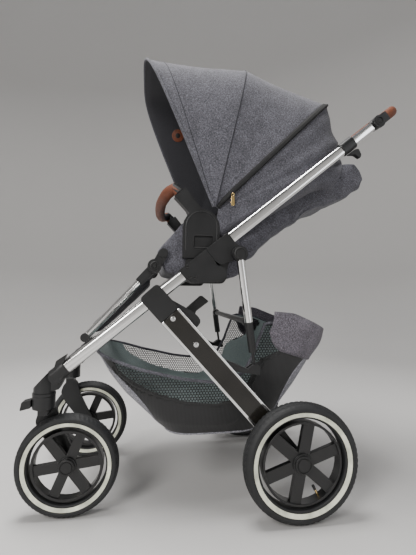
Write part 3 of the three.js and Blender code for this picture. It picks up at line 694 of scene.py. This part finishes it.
def tyre_piece(node):
    """A pneumatic tyre: round tread with cut blocks, ribbed shoulders and a cream ring on each side."""
    low, high = box_of(node)
    centre = (low + high) / 2
    radius, half = (high.z - low.z) / 2, (high.x - low.x) / 2
    # Radius as a share of the tyre's, and how far the wall stands out as a share of its half width.
    wall = [(0.745, 0.55), (0.757, 0.68), (0.772, 0.72), (0.778, 0.8), (0.782, 0.81), (0.855, 0.95),
            (0.859, 0.94), (0.866, 0.94), (0.87, 0.965), (0.9, 1.0), (0.928, 0.97), (0.934, 0.93),
            (0.95, 0.88), (0.966, 0.78), (0.98, 0.62), (0.99, 0.42), (0.996, 0.3), (0.997, 0.12)]
    profile = [(-w * half, r * radius) for r, w in wall]
    profile += [(-x, r) for x, r in reversed(profile)]
    segments = TREAD_BLOCKS * 3
    points = []
    for i in range(segments):
        a = 2 * math.pi * i / segments
        for x, r in profile:
            depth = r
            if r > 0.94 * radius:
                slant = i + (2 if x > 0 else 0) + round(abs(x) / half * 3)
                cut = 0.0022 if slant % 3 == 0 and abs(x) > 0.2 * half else 0
                depth = r - cut
            if abs(abs(x) - 0.3 * half) < 0.002 and r > 0.99 * radius:
                depth -= 0.0016
            points.append(centre + Vector((x, depth * math.cos(a), depth * math.sin(a))))
    slots = []
    for (x, r), (next_x, next_r) in zip(profile, profile[1:] + profile[:1]):
        on_ring = 0.785 < (r + next_r) / 2 / radius < 0.856 and x * next_x > 0
        slots.append(1 if on_ring else 0)
    faces = ring_faces(segments, len(profile), True)
    piece = mesh_piece(node + "_skin", points, faces, RUBBER, CREAM, sharp=38)
    fill_slots(piece, slots * segments)
    face_outward(piece.data)
    attach(piece, node)
    return centre, radius


def wheels():
    """The tyre, hub cap and valve of each of the four wheels."""
    for end in ("rear", "front"):
        for side, outward in SIDES.items():
            centre, radius = tyre_piece(f"{end}_tyre_{side}")
            hub_cap(f"{end}_rim_{side}", centre, radius, outward)
            valve(f"{end}_rim_{side}", centre, radius)


def hub_cap(node, centre, radius, outward):
    """A stepped round cap on the outer end of a hub."""
    size = radius * 0.145
    shape = ((-0.001, 1), (0.0006, 1), (0.0016, 0.93), (0.0016, 0.86), (0.0002, 0.82), (0.0002, 0.74),
             (0.0022, 0.7), (0.0026, 0.3), (0.0027, 0))
    place = Vector((face_x(node, outward), centre.y, centre.z))
    stepped_cap(node + "_cap", node, place, outward, [(x, size * share) for x, share in shape], segments=48)


def valve(node, centre, radius):
    """The inner tube's valve, standing in from the rim between two spokes."""
    angle = math.radians(-62)
    inward = -Vector((0, math.cos(angle), math.sin(angle)))
    start = centre - inward * radius * 0.66
    for name, low, high, width, material in (
        ("valve", 0, 0.02, 0.0028, BRASS),
        ("valve_cap", 0.019, 0.03, 0.0036, PLASTIC_SOFT),
    ):
        path = [start + inward * low, start + inward * high]
        detail(sweep_piece(f"{node}_{name}", path, width, material, 12), node)


wheels()


# ---------- leather ----------
def bumper():
    """A leather-wrapped bar, with a dark seam tape along its inner side and black end sleeves."""
    piece = skin("bumper_bar", LEATHER, 0.002)
    low, high = box_of("bumper_bar")
    sleeve = 0.022
    paint_faces(piece, STRAP, lambda c, n: n.y > 0.62 and abs(c.x) < high.x - 0.02)
    paint_faces(piece, PLASTIC_SOFT, lambda c, n: c.y > high.y - sleeve)


bumper()
skin("handle_grip", LEATHER, 0.002)


# ---------- seat hub details ----------
HUB_SLOT = (-0.078, -0.026, 0.668, 0.7)     # Y from and to, Z from and to
HUB_DOME = (-0.057, 0.722, 0.0405)          # centre of the dome's raised line, and its radius
HUB_LINE_FOOT = 0.662


def rounded_loop(x, box, radius, steps=6):
    """Points of a rounded rectangle in a plane across X."""
    y0, y1, z0, z1 = box
    points = []
    for corner, (y, z) in enumerate(((y1, z1), (y0, z1), (y0, z0), (y1, z0))):
        cy = y - math.copysign(radius, y - (y0 + y1) / 2)
        cz = z - math.copysign(radius, z - (z0 + z1) / 2)
        for i in range(steps + 1):
            a = math.radians(90 * corner + 90 * i / steps)
            points.append(Vector((x, cy + radius * math.cos(a), cz + radius * math.sin(a))))
    return points


def hub_details():
    """A raised line round each hub plate's dome, and a rim at its slot."""
    y, z, radius = HUB_DOME
    for side, outward in SIDES.items():
        node = f"seat_hub_{side}"
        face = face_x(node, outward)
        arch = [Vector((face, y + radius, HUB_LINE_FOOT))]
        for i in range(31):
            a = math.pi * i / 30
            arch.append(Vector((face, y + radius * math.cos(a), z + radius * math.sin(a))))
        arch.append(Vector((face, y - radius, HUB_LINE_FOOT)))
        slot = rounded_loop(face, HUB_SLOT, 0.006)
        detail(sweep_piece(f"hub_slot_rim_{side}", slot, 0.0015, PLASTIC_SOFT, 8, closed=True), node)
        detail(sweep_piece(f"hub_line_{side}", arch, 0.0016, PLASTIC, 8), node)


hub_details()


# ---------- canopy ----------
PIVOT = Vector((0, -0.022, 0.768))
HALF_WIDTH = 0.204
SQUARENESS = 4.5
BOW_START = 0.01
# Each bow's angle up from the rearward horizontal, reach and foot.
BOWS = {
    "front": (113.2, 0.482, PIVOT),
    "middle": (77.0, 0.449, PIVOT),
    "zip": (44.7, 0.506, PIVOT),
    "shoulder": (31.5, 0.462, PIVOT),
    "back": (24.0, 0.446, PIVOT),
    "hem": (30.8, 0.484, Vector((0, -0.029, 0.703))),
}


def bow_point(bow, across):
    """A point of a bow; across runs from -1 at the right foot to 1 at the left foot."""
    angle, reach, foot = BOWS[bow]
    angle = math.radians(angle)
    theta = math.pi / 2 * (1 - abs(across))
    power = 2 / SQUARENESS
    x = HALF_WIDTH * math.cos(theta) ** power * (1 if across > 0 else -1)
    distance = BOW_START + (reach - BOW_START) * math.sin(theta) ** power
    return foot + Vector((x, distance * math.cos(angle), distance * math.sin(angle)))


def even_across(steps):
    """Values of across that put points evenly along a bow."""
    fine = 400
    line = [bow_point("middle", 2 * i / fine - 1) for i in range(fine + 1)]
    lengths = [0.0]
    for a, b in zip(line, line[1:]):
        lengths.append(lengths[-1] + (b - a).length)
    result = []
    for k in range(steps + 1):
        wanted = lengths[-1] * k / steps
        i = next((i for i in range(1, fine + 1) if lengths[i] >= wanted), fine)
        span = (wanted - lengths[i - 1]) / (lengths[i] - lengths[i - 1])
        result.append(2 * (i - 1 + span) / fine - 1)
    return result


ACROSS = even_across(72)


def canopy_rows(bows, steps, sag, wrinkle, seed):
    """Rows of points over a run of bows. Cloth sags between bows, and wrinkles run out from the pivot."""
    rows = []
    for number, (first, second) in enumerate(zip(bows, bows[1:])):
        for i in range(steps + (1 if second == bows[-1] else 0)):
            share = i / steps
            row = []
            for across in ACROSS:
                point = bow_point(first, across).lerp(bow_point(second, across), share)
                inward = (PIVOT - point).normalized()
                height = smoothstep(0.02, 0.3, (point - PIVOT).length)
                dip = sag * math.sin(math.pi * share) * height
                turn = (number + share) * 2.6
                fold = noise.noise(Vector((turn + seed, across * 0.8, seed)))
                fold += 0.45 * noise.noise(Vector((turn * 2.7, across * 2.1, seed + 4)))
                edge = math.sin(math.pi * min(1, max(0, (number + share) / (len(bows) - 1)))) ** 0.4
                sideways = Vector((1 if across > 0 else -1, 0, 0)) * smoothstep(0.0, 0.16, abs(across))
                sideways *= smoothstep(0.0, 0.2, 1 - abs(across))
                row.append(point + inward * dip + sideways * fold * wrinkle * edge)
            rows.append(row)
    return rows


def sheet_piece(name, rows, thickness, *materials):
    """A thickened sheet over rows of points, and its flat area."""
    points = [p for row in rows for p in row]
    piece = mesh_piece(name, points, grid_faces(len(rows), len(rows[0])), *materials, sharp=0)
    flat_area = face_area(piece.data)
    face_away(piece, PIVOT)
    thicken(piece, thickness, len(materials) - 1)
    piece.data.shade_smooth()
    return piece, flat_area


def face_away(piece, place):
    """Turns the faces of an open sheet so that they look away from a place."""
    mesh = piece.data
    total = sum((f.center - place).dot(f.normal) * f.area for f in mesh.polygons)
    if total < 0:
        mesh.flip_normals()


def smoothstep(low, high, value):
    t = max(0.0, min(1.0, (value - low) / (high - low)))
    return t * t * (3 - 2 * t)


def canopy():
    """The front sheet from the front bow to the zip, and the back sheet from the zip to the backrest."""
    rows = canopy_rows(("front", "middle", "zip"), 12, 0.004, wrinkle=0.004, seed=1.3)
    cover, area = sheet_piece("canopy_cover", rows, 0.0026, MELANGE, LINING)
    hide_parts("canopy_front", "canopy_rear", "canopy_bow")
    follow_front_bow(cover)
    back_rows = canopy_rows(("zip", "shoulder", "back", "hem"), 9, 0.003, wrinkle=0.011, seed=3.7)
    back_rows.append([tucked(point) for point in back_rows[-1]])
    back, area = sheet_piece("canopy_back_cover", back_rows, 0.0024, MELANGE, LINING)
    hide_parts("canopy_back")
    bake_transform(back)
    canopy_trim(rows)


def follow_front_bow(piece):
    """Bakes the piece's placing into its mesh, where it stays."""
    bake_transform(piece)


def tucked(point):
    """Where a point of the back's lower edge goes in behind the side and the top of the backrest."""
    side = smoothstep(0.1, 0.19, abs(point.x))
    top = smoothstep(0.25, 0.37, point.y)
    inward = -0.03 * side * (1 if point.x > 0 else -1)
    return point + Vector((inward, 0.004 * side + 0.02 * top, -0.034 * side - 0.036 * top))


def canopy_trim(rows):
    """The rolled front edge and its seam, the sewn middle seam, and the zip."""
    steps = (len(rows) - 1) // 2
    follow_front_bow(sweep_piece("canopy_hem", rows[0], 0.0034, MELANGE, 8))
    follow_front_bow(sweep_piece("canopy_binding", rows[2], 0.0011, SEAM_THREAD, 6))
    for name, row, radius, material in (
        ("canopy_seam", steps, 0.0014, SEAM_THREAD),
        ("canopy_zip", 2 * steps, 0.0042, ZIP_CLOTH),
    ):
        path = [point + (point - PIVOT).normalized() * 0.0006 for point in rows[row]]
        detail(sweep_piece(name, path, radius, material, 8), "canopy_rear")
    zip_tape(rows)
    for side in SIDES:
        zip_pull(side)


def zip_tape(rows):
    """A flat black tape over the zip."""
    points = []
    for point, before in zip(rows[-1], rows[-2]):
        across = (before - point).normalized()
        lift = (point - PIVOT).normalized() * 0.001
        out = Vector((math.copysign(0.0022, point.x), 0, 0)) * smoothstep(0.03, 0.12, abs(point.x))
        points += [point + across * 0.0125 + lift + out, point - across * 0.003 + lift * 2 + out * 1.3]
    piece = mesh_piece("zip_tape", points, grid_faces(len(rows[-1]), 2), ZIP_CLOTH, sharp=0)
    thicken(piece, 0.0009, outward=True)
    detail(piece, "canopy_rear")


def zip_pull(side):
    """A brass ring with a flat tag that hangs from it."""
    outward = SIDES[side]
    top = bow_point("zip", outward * 0.9955) + Vector((outward * 0.005, 0, 0))
    half_tag = [(-0.0042, -0.008), (-0.005, -0.03), (-0.004, -0.033)]
    tag = [(-y, z) for y, z in half_tag] + list(reversed(half_tag))
    points = [top + Vector((outward * x, y, z)) for x in (0.0003, 0.0021) for y, z in tag]
    piece = mesh_piece(f"zip_tag_{side}", points, prism_faces(len(tag)), BRASS, sharp=30)
    face_outward(piece.data)
    round_edges(piece, 0.0006)
    detail(piece, "canopy_rear")
    loop = []
    for i in range(14):
        a = 2 * math.pi * i / 14
        loop.append(top + Vector((outward * 0.0012, 0.003 * math.sin(a), -0.004 + 0.0048 * math.cos(a))))
    detail(sweep_piece(f"zip_ring_{side}", loop, 0.0009, BRASS, 8, closed=True), "canopy_rear")


def badge():
    """A round leather patch with a dark centre, sewn on the lining."""
    def lining_point(across, share):
        return bow_point("front", across).lerp(bow_point("middle", across), share)

    across, share = -0.592, 0.345
    spot = lining_point(across, share)
    normal = (lining_point(across, share + 0.05) - spot).cross(lining_point(across * 0.97, share) - spot)
    normal = normal.normalized() * math.copysign(1, normal.x)
    turn = Vector((1, 0, 0)).rotation_difference(normal).to_matrix().to_4x4()
    place = Matrix.Translation(spot + normal * 0.0065) @ turn
    flat_ring = ((0, 0.0215), (0.0014, 0.0215), (0.0026, 0.02), (0.0026, 0.0172), (0.0014, 0.0162),
                 (0.0022, 0.015), (0.0022, 0.009), (0, 0.009))
    button = ((0, 0.0088), (0.0016, 0.0088), (0.0022, 0.006), (0.0023, 0))
    origin = Vector((0, 0, 0))
    ring = turned_piece("badge_ring", flat_ring, origin, LEATHER, 48, closed_profile=True)
    core = turned_piece("badge_core", button, origin, PLASTIC_SOFT, 32)
    for piece in (ring, core):
        piece.data.transform(place)
        follow_front_bow(piece)


canopy()
badge()


# ---------- seat ----------
PRESSURE = 4                # of the cloth simulation, with gravity off
SIMULATION_FRAMES = 20
CHANNEL_WIDTH = 0.004


def padded_copy(node, name, material, cap, voxel=0.006, shrink=0.004):
    """A padded piece: a CAD solid's shape, blown up softly by a short cloth simulation."""
    mesh = frame["nodes"][node].data.copy()
    mesh.materials.clear()
    mesh.materials.append(material)
    weld(mesh)
    piece = add_object(name, mesh)
    remesh = piece.modifiers.new("remesh", "REMESH")
    remesh.mode = "VOXEL"
    remesh.voxel_size = voxel
    apply_modifiers(piece)
    inset = [v.co - v.normal * shrink for v in piece.data.vertices]
    for vertex, place in zip(piece.data.vertices, inset):
        vertex.co = place
    inflate(piece, cap)
    piece.data.materials.clear()
    piece.data.materials.append(material)
    attach(piece, node)
    return piece


def inflate(piece, cap):
    """Runs a pressurised cloth on a closed mesh and moves each point at most cap from where it was."""
    before = [v.co.copy() for v in piece.data.vertices]
    cloth = piece.modifiers.new("cloth", "CLOTH")
    cloth.settings.use_pressure = True
    cloth.settings.uniform_pressure_force = PRESSURE
    cloth.settings.effector_weights.gravity = 0
    cloth.point_cache.frame_start = 1
    cloth.point_cache.frame_end = SIMULATION_FRAMES
    scene = bpy.context.scene
    for number in range(1, SIMULATION_FRAMES + 1):
        scene.frame_set(number)
    apply_modifiers(piece)
    scene.frame_set(1)
    for vertex, place in zip(piece.data.vertices, before):
        step = vertex.co - place
        if step.length > cap:
            vertex.co = place + step * (cap / step.length)


def push_faces(piece, amount):
    """Moves each point along its normal by amount(point, normal)."""
    mesh = piece.data
    moved = [v.co + v.normal * amount(v.co, v.normal) for v in mesh.vertices]
    for vertex, place in zip(mesh.vertices, moved):
        vertex.co = place
    mesh.update()


def groove(distance, depth):
    """How far a sewn channel pulls the cloth in, at a distance from its middle."""
    return -depth * math.exp(-((distance / CHANNEL_WIDTH) ** 2))


def seat():
    """The cloth-covered shell, and the cushion with its sewn channels along and across."""
    shell = padded_copy("seat_shell", "seat_wrap", MELANGE, 0.002, voxel=0.005, shrink=0.0008)
    push_faces(shell, lambda p, n: 0.0022 * noise.noise(p * 16) + 0.0012 * noise.noise(p * 40))
    subdivide(shell)
    cushion = padded_copy("seat_cushion", "seat_pad", MELANGE, 0.008)
    low, high = box_of("seat_cushion")

    def channels(p, n):
        if n.z < 0.3:
            return 0.0
        lines = [groove(p.x - x, 0.006) for x in (-0.085, 0.085)]
        rows = [groove(p.y - y, 0.006) for y in (low.y + 0.06, low.y + 0.12)]
        return min(lines) + min(rows)

    push_faces(cushion, channels)
    subdivide(cushion)


seat()


def back_rest():
    """The backrest's padded shell: quilted inside, loosely wrapped cloth outside."""
    pad = padded_copy("backrest", "backrest_pad", MELANGE, 0.012)
    low, high = box_of("backrest")
    slope = Vector((0, high.y - low.y, high.z - low.z)).normalized()

    def folds(p, n):
        along = (p - Vector((0, low.y, low.z))).dot(slope)
        outer = smoothstep(0.1, 0.6, n.dot(Vector((0, slope.z, -slope.y))))
        side = smoothstep(0.3, 0.8, abs(n.x))
        crumple = 0.35 - 1.9 * abs(noise.noise(Vector((p.x * 4, along * 13 + p.z * 6, 2.0))))
        crumple += 0.6 * noise.noise(Vector((p.x * 9, along * 30, 7)))
        inner = 1 - outer - side
        quilt = min(groove(p.x - x, 0.007) for x in (-0.07, 0.07))
        return 0.008 * crumple * (outer + 0.8 * side) + max(0, inner) * quilt

    push_faces(pad, folds)
    hang_outer_cloth(pad, low, slope)
    subdivide(pad)


def hang_outer_cloth(pad, low, slope):
    """The cloth on the outside of the backrest bulges by the hinge and droops at the top."""
    down = Vector((0, slope.z, -slope.y))
    line = Vector((0, low.y, low.z))
    offs = [(v.co - line).dot(down) for v in pad.data.vertices]
    top, bottom = min(offs), max(offs)
    for vertex, off in zip(pad.data.vertices, offs):
        along = (vertex.co - line).dot(slope)
        weight = smoothstep(top, bottom, off)
        bulge = 0.014 * math.exp(-(((along - 0.06) / 0.07) ** 2))
        droop = 0.022 * smoothstep(0.3, 0.44, along)
        middle_sag = 0.006 * (1 - (vertex.co.x / 0.17) ** 2)
        vertex.co += down * weight * (bulge + droop + middle_sag)


back_rest()


def leg_pad():
    """The dark pad inside the leg rest's hoop."""
    pad = padded_copy("legrest_pad", "calf_pad", LINING, 0.006)
    push_faces(pad, lambda p, n: 0.002 * noise.noise(p * 18))
    subdivide(pad)


leg_pad()


skin("harness", STRAP, 0.001)


# ---------- basket ----------
BASKET_FLOOR = 0.179
BASKET_HALF_WIDTH = 0.192
BASKET_MIDDLE = Vector((0, 0, 0.3))
# Down the wall from the rim: share of the drop, the loop's front and rear, and its share of the full width.
BASKET_LEVELS = (
    (-0.1, -0.336, 0.324, 1.0),
    (0.0, -0.328, 0.312, 1.0),
    (0.24, -0.292, 0.276, 0.99),
    (0.5, -0.248, 0.232, 0.98),
    (0.8, -0.186, 0.174, 0.94),
    (1.0, -0.142, 0.122, 0.84),
)
# Height of the rim along Y.
BASKET_RIM = ((-0.328, 0.394), (-0.21, 0.356), (-0.1, 0.33), (-0.01, 0.318), (0.05, 0.326), (0.092, 0.4),
              (0.114, 0.474), (0.19, 0.468), (0.312, 0.42))
CORNER = 0.45               # power of the rounded-square loop
NET_PITCH = 0.0076
NET_FRONT, NET_REAR = -0.275, 0.215
NET_DEPTH = 0.4
FLAP_REACH = 1.4            # angle round from the rear to each end of the flap


def stations(table, column, at):
    """A value between the stations of a table, its corners eased."""
    def straight(x):
        rows = list(zip(table, table[1:]))
        a, b = next(((a, b) for a, b in rows if x <= b[0]), rows[-1])
        share = max(0.0, min(1.0, (x - a[0]) / (b[0] - a[0])))
        return a[column] + (b[column] - a[column]) * share
    ease = (table[-1][0] - table[0][0]) * 0.012
    return (straight(at - ease) + 2 * straight(at) + straight(at + ease)) / 4


def signed_power(value, power):
    """A power that keeps the value's sign."""
    return math.copysign(abs(value) ** power, value)


def basket_point(angle, drop, out=0.0):
    """A point of the basket's wall: angle round from the rear, drop from the rim (0) to the floor (1)."""
    front, rear = stations(BASKET_LEVELS, 1, drop), stations(BASKET_LEVELS, 2, drop)
    along, side = signed_power(math.cos(angle), CORNER), signed_power(math.sin(angle), CORNER)
    y = (front + rear) / 2 + ((rear - front) / 2 + out) * along
    x = (BASKET_HALF_WIDTH * stations(BASKET_LEVELS, 3, drop) + out) * side
    rim_y = BASKET_LEVELS[1][1] + (BASKET_LEVELS[1][2] - BASKET_LEVELS[1][1]) * (along + 1) / 2
    rim = stations(BASKET_RIM, 1, rim_y)
    return Vector((x, y, rim + (BASKET_FLOOR - rim) * drop))


def side_point(y, z, sign, out=0.0):
    """A point of a side wall, from its Y and Z."""
    rim = stations(BASKET_RIM, 1, y)
    drop = (rim - z) / (rim - BASKET_FLOOR)
    front, rear = stations(BASKET_LEVELS, 1, drop), stations(BASKET_LEVELS, 2, drop)
    along = max(-0.999, min(0.999, (y - (front + rear) / 2) / ((rear - front) / 2)))
    side = (1 - abs(along) ** (2 / CORNER)) ** (CORNER / 2)
    return Vector((sign * (BASKET_HALF_WIDTH * stations(BASKET_LEVELS, 3, drop) * side + out), y, z)), drop


def window_depth(y):
    """How far down the wall the see-through net goes at a Y, as a share of the drop."""
    share = (y - NET_FRONT) / (NET_REAR - NET_FRONT)
    if not 0 < share < 1:
        return 0.0
    return NET_DEPTH * math.sin(math.pi * share) ** 0.45


def end_panel_edge(drop):
    """Sine of the angle where a grey end panel meets the side wall: widest halfway down."""
    return 0.3 + 0.46 * math.sin(math.pi * max(0, min(1, drop))) ** 0.8


def bulge(point, drop):
    """The basket's cloth sags outward between its edges, most at the front, with a few shallow creases."""
    front = smoothstep(0.12, 0.3, -point.y)
    amount = (0.004 + 0.008 * front) * math.sin(math.pi * max(0, min(1, drop)))
    crease = 0.0016 * noise.noise(Vector((point.y * 14, point.z * 9, 1.5 + point.x)))
    outward = Vector((point.x, 0.35 * point.y, 0)).normalized()
    return point + outward * (amount + crease * min(1, drop * 6))


def wall_point(angle, drop):
    """A point of the basket's wall with the cloth's sag."""
    return bulge(basket_point(angle, drop), drop)


def basket_shell():
    """The basket's wall and floor in one sheet, with an opening for the net in each side."""
    columns, depth_steps, floor_steps = 216, 44, 6
    angles = [2 * math.pi * j / columns for j in range(columns)]
    rows = [[wall_point(angle, i / depth_steps) for angle in angles] for i in range(depth_steps + 1)]
    centre = Vector((0, -0.01, BASKET_FLOOR))
    for i in range(1, floor_steps + 1):
        share = 0.985 * i / floor_steps
        dip = UP * 0.001 * math.sin(math.pi * share)
        rows.append([p.lerp(centre, share) - dip for p in rows[depth_steps]])
    points = [p for row in rows for p in row]
    faces, slots = [], []
    for face in grid_faces(len(rows), columns, closed=True):
        middle_point = sum((points[k] for k in face), Vector()) / 4
        row = face[0] // columns
        drop = (row + 0.5) / depth_steps
        on_side = abs(middle_point.x) > 0.8 * BASKET_HALF_WIDTH
        if on_side and row < depth_steps and 0.03 < drop < window_depth(middle_point.y):
            continue
        faces.append(face)
        angle = 2 * math.pi * (face[0] % columns + 0.5) / columns
        on_end = row < depth_steps and abs(math.sin(angle)) < end_panel_edge(drop)
        slots.append(2 if on_end else 0)
    last = (len(rows) - 1) * columns
    faces.append(tuple(range(last, last + columns)))
    slots.append(0)
    # The inner faces, slots 1 and 3, are painted pale teal: painted light for the backdrop's light shining
    # through the mesh cloth.
    materials = (BASKET_CLOTH, BASKET_INSIDE_PAINTED_BACKLIGHT, END_CLOTH, BASKET_INSIDE_PAINTED_BACKLIGHT)
    piece = mesh_piece("basket_cloth_shell", points, faces, *materials, sharp=0)
    fill_slots(piece, slots)
    face_away(piece, BASKET_MIDDLE)
    thicken(piece, 0.0024, 1)
    piece.data.shade_smooth()
    attach(piece, "basket_shell")


def net_window(side):
    """Open hexagonal net in the upper part of a side wall."""
    points, index, faces = [], {}, []
    cell = NET_PITCH / math.sqrt(3)

    def corner(y, z):
        key = (round(y / NET_PITCH * 12), round(z / NET_PITCH * 12))
        if key not in index:
            point, drop = side_point(y, z, SIDES[side], -0.0006)
            index[key] = len(points)
            points.append(bulge(point, drop))
        return index[key]

    for row in range(60):
        z = 0.24 + row * NET_PITCH * 0.866
        for column in range(90):
            y = NET_FRONT - 0.02 + (column + 0.5 * (row % 2)) * NET_PITCH
            rim = stations(BASKET_RIM, 1, y)
            drop = (rim - z) / (rim - BASKET_FLOOR)
            if 0.02 < drop < window_depth(y) + 0.03 and window_depth(y) > 0:
                turns = [math.pi / 3 * k for k in range(6)]
                faces.append([corner(y + cell * math.sin(a), z + cell * math.cos(a)) for a in turns])
    net = mesh_piece(f"basket_net_{side}", points, faces, BASKET_NET, sharp=0)
    wires = net.modifiers.new("wires", "WIREFRAME")
    wires.thickness = 0.0026
    wires.use_even_offset = False
    apply_modifiers(net)
    detail(net, "basket_shell")


def net_edge(side):
    """The line along the lower edge of a side's net."""
    line = []
    for i in range(60):
        y = NET_FRONT + (NET_REAR - NET_FRONT) * (0.004 + 0.992 * i / 59)
        rim = stations(BASKET_RIM, 1, y)
        depth = max(0.02, window_depth(y))
        point, drop = side_point(y, rim - depth * (rim - BASKET_FLOOR), SIDES[side])
        line.append(bulge(point, drop))
    return line


def basket_bindings():
    """Binding round the rim, down the four corners, round the floor and along the nets."""
    angles = [2 * math.pi * i / 200 for i in range(200)]
    loops = {
        "basket_rim": ([basket_point(a, 0.0, 0.0005) for a in angles], 0.0042, MELANGE, True),
        "basket_base": ([wall_point(a, 1.0) for a in angles], 0.0028, END_CLOTH, True),
    }
    drops = [0.005 + 0.98 * i / 40 for i in range(41)]
    for end in (0, math.pi):
        for way in (-1, 1):
            line = [wall_point(end + way * math.asin(end_panel_edge(drop)), drop) for drop in drops]
            loops[f"basket_corner_{len(loops)}"] = (line, 0.0024, END_CLOTH, False)
    for side in SIDES:
        loops[f"basket_net_edge_{side}"] = (net_edge(side), 0.0018, BASKET_CLOTH, False)
    for name, (path, radius, material, closed) in loops.items():
        detail(sweep_piece(name, path, radius, material, 8, closed=closed), "basket_shell")


def flap_point(across, share):
    """A point of the flap: across from -1 to 1 along the rim, share of the way down."""
    end = max(0.0, (abs(across) - 0.86) / 0.14)
    lowest = 0.27 * math.sqrt(max(0.0, 1 - end * end * 0.86)) - 0.02
    drop = -0.1 + (lowest + 0.1) * share
    point = basket_point(across * FLAP_REACH, drop, 0.0036)
    fold = 0.006 * noise.noise(Vector((point.x * 13, point.y * 13, drop * 5 + 6)))
    lift = 0.005 * math.sin(math.pi * share) + fold * (0.3 + share)
    outward = Vector((point.x, point.y - 0.05, 0)).normalized()
    return point + outward * max(-0.001, lift)


def basket_flap():
    """A soft flap folded over the rear rim, with rounded lower corners."""
    columns, depth_steps = 72, 16
    across = [2 * j / columns - 1 for j in range(columns + 1)]
    rows = [[flap_point(t, i / depth_steps) for t in across] for i in range(depth_steps + 1)]
    points = [p for row in rows for p in row]
    piece = mesh_piece("basket_flap_cloth", points, grid_faces(len(rows), columns + 1), FLAP_CLOTH, sharp=0)
    face_away(piece, BASKET_MIDDLE)
    thicken(piece, 0.0022, outward=True)
    piece.data.shade_smooth()
    attach(piece, "basket_flap")
    right = [row[-1] for row in reversed(rows[:-1])]
    left = [row[0] for row in rows[1:-1]]
    edge = rows[-1] + right + list(reversed(rows[0][:-1])) + left
    detail(sweep_piece("basket_flap_hem", edge, 0.0022, FLAP_CLOTH, 8, closed=True), "basket_flap")


basket_shell()
net_window("left")
net_window("right")
basket_bindings()
basket_flap()


# ---------- floor and light ----------
PAPER = (0.575, 0.567, 0.56)


def studio():
    """A round pale floor that curves up far behind the object on all sides, its colour painted lighter and
    darker by height and by X as painted light and shade.
    """
    profile = [(0, 0), (2.4, 0), (2.7, 0.02), (3.0, 0.12), (3.3, 0.34), (3.5, 0.66), (3.62, 1.1),
               (3.68, 1.7), (3.7, 5.6)]
    segments = 96
    points = []
    for i in range(segments):
        a = 2 * math.pi * i / segments
        points += [Vector((r * math.cos(a), r * math.sin(a), z)) for r, z in profile]
    faces = [tuple(reversed(face)) for face in ring_faces(segments, len(profile), False)]
    material = new_material("paper_painted_light", PAPER, 0.9)
    graph = Graph(material)
    x, y, z = graph.parts()
    # Painted light and shade: the lower wall is painted darker and the upper wall brighter to make up for the
    # lights' falloff up the wall, and the wall far behind the camera is painted darker, a painted dark area
    # for the chrome to reflect.
    height = graph.math("MINIMUM", graph.math("MULTIPLY", z, 0.1), 0.5)
    behind_camera = graph.math("MULTIPLY", graph.math("SUBTRACT", x, 1.2), 0.4)
    shade = graph.math("MAXIMUM", height, graph.math("MINIMUM", behind_camera, 1.0))
    graph.tint(
        shade, PAPER, (0.0, 1), (0.02, 0.9), (0.08, 0.76), (0.25, 0.95), (0.45, 1.3), (0.6, 1.4), (1.0, 0.7))
    graph.bump(graph.noise(60.0, 3.0), 0.0004, 0.2)
    floor = mesh_piece("studio_floor", points, faces, material, sharp=0)
    weld(floor.data)


def area_light(name, place, target, size, power, color=(1, 1, 1)):
    data = bpy.data.lights.new(name, "AREA")
    data.shape = "RECTANGLE"
    data.size, data.size_y = size
    data.energy = power
    data.color = color
    lamp = bpy.data.objects.new(name, data)
    bpy.context.collection.objects.link(lamp)
    lamp.location = place
    lamp.rotation_mode = "QUATERNION"
    lamp.rotation_quaternion = (Vector(target) - Vector(place)).to_track_quat("-Z", "Y")


def lights():
    """Three large soft lights, a weak one from behind and a dim even sky."""
    area_light("overhead", (0.1, -0.5, 3.0), (0, 0, 0.4), (1.15, 1.15), 108, (1, 0.99, 0.97))
    area_light("key", (2.2, -1.7, 2.0), (0, 0, 0.6), (0.9, 1.3), 62, (1, 0.985, 0.96))
    area_light("fill", (2.0, 1.8, 1.2), (0, 0.1, 0.5), (0.6, 1.6), 8, (0.93, 0.96, 1))
    area_light("rear", (-2.2, 0.4, 2.0), (0, 0, 0.6), (1.6, 1.6), 10)
    world = bpy.data.worlds.new("world")
    world.use_nodes = True
    background = world.node_tree.nodes["Background"]
    background.inputs["Color"].default_value = (0.9, 0.92, 0.95, 1)
    background.inputs["Strength"].default_value = 0.24
    bpy.context.scene.world = world


studio()
lights()
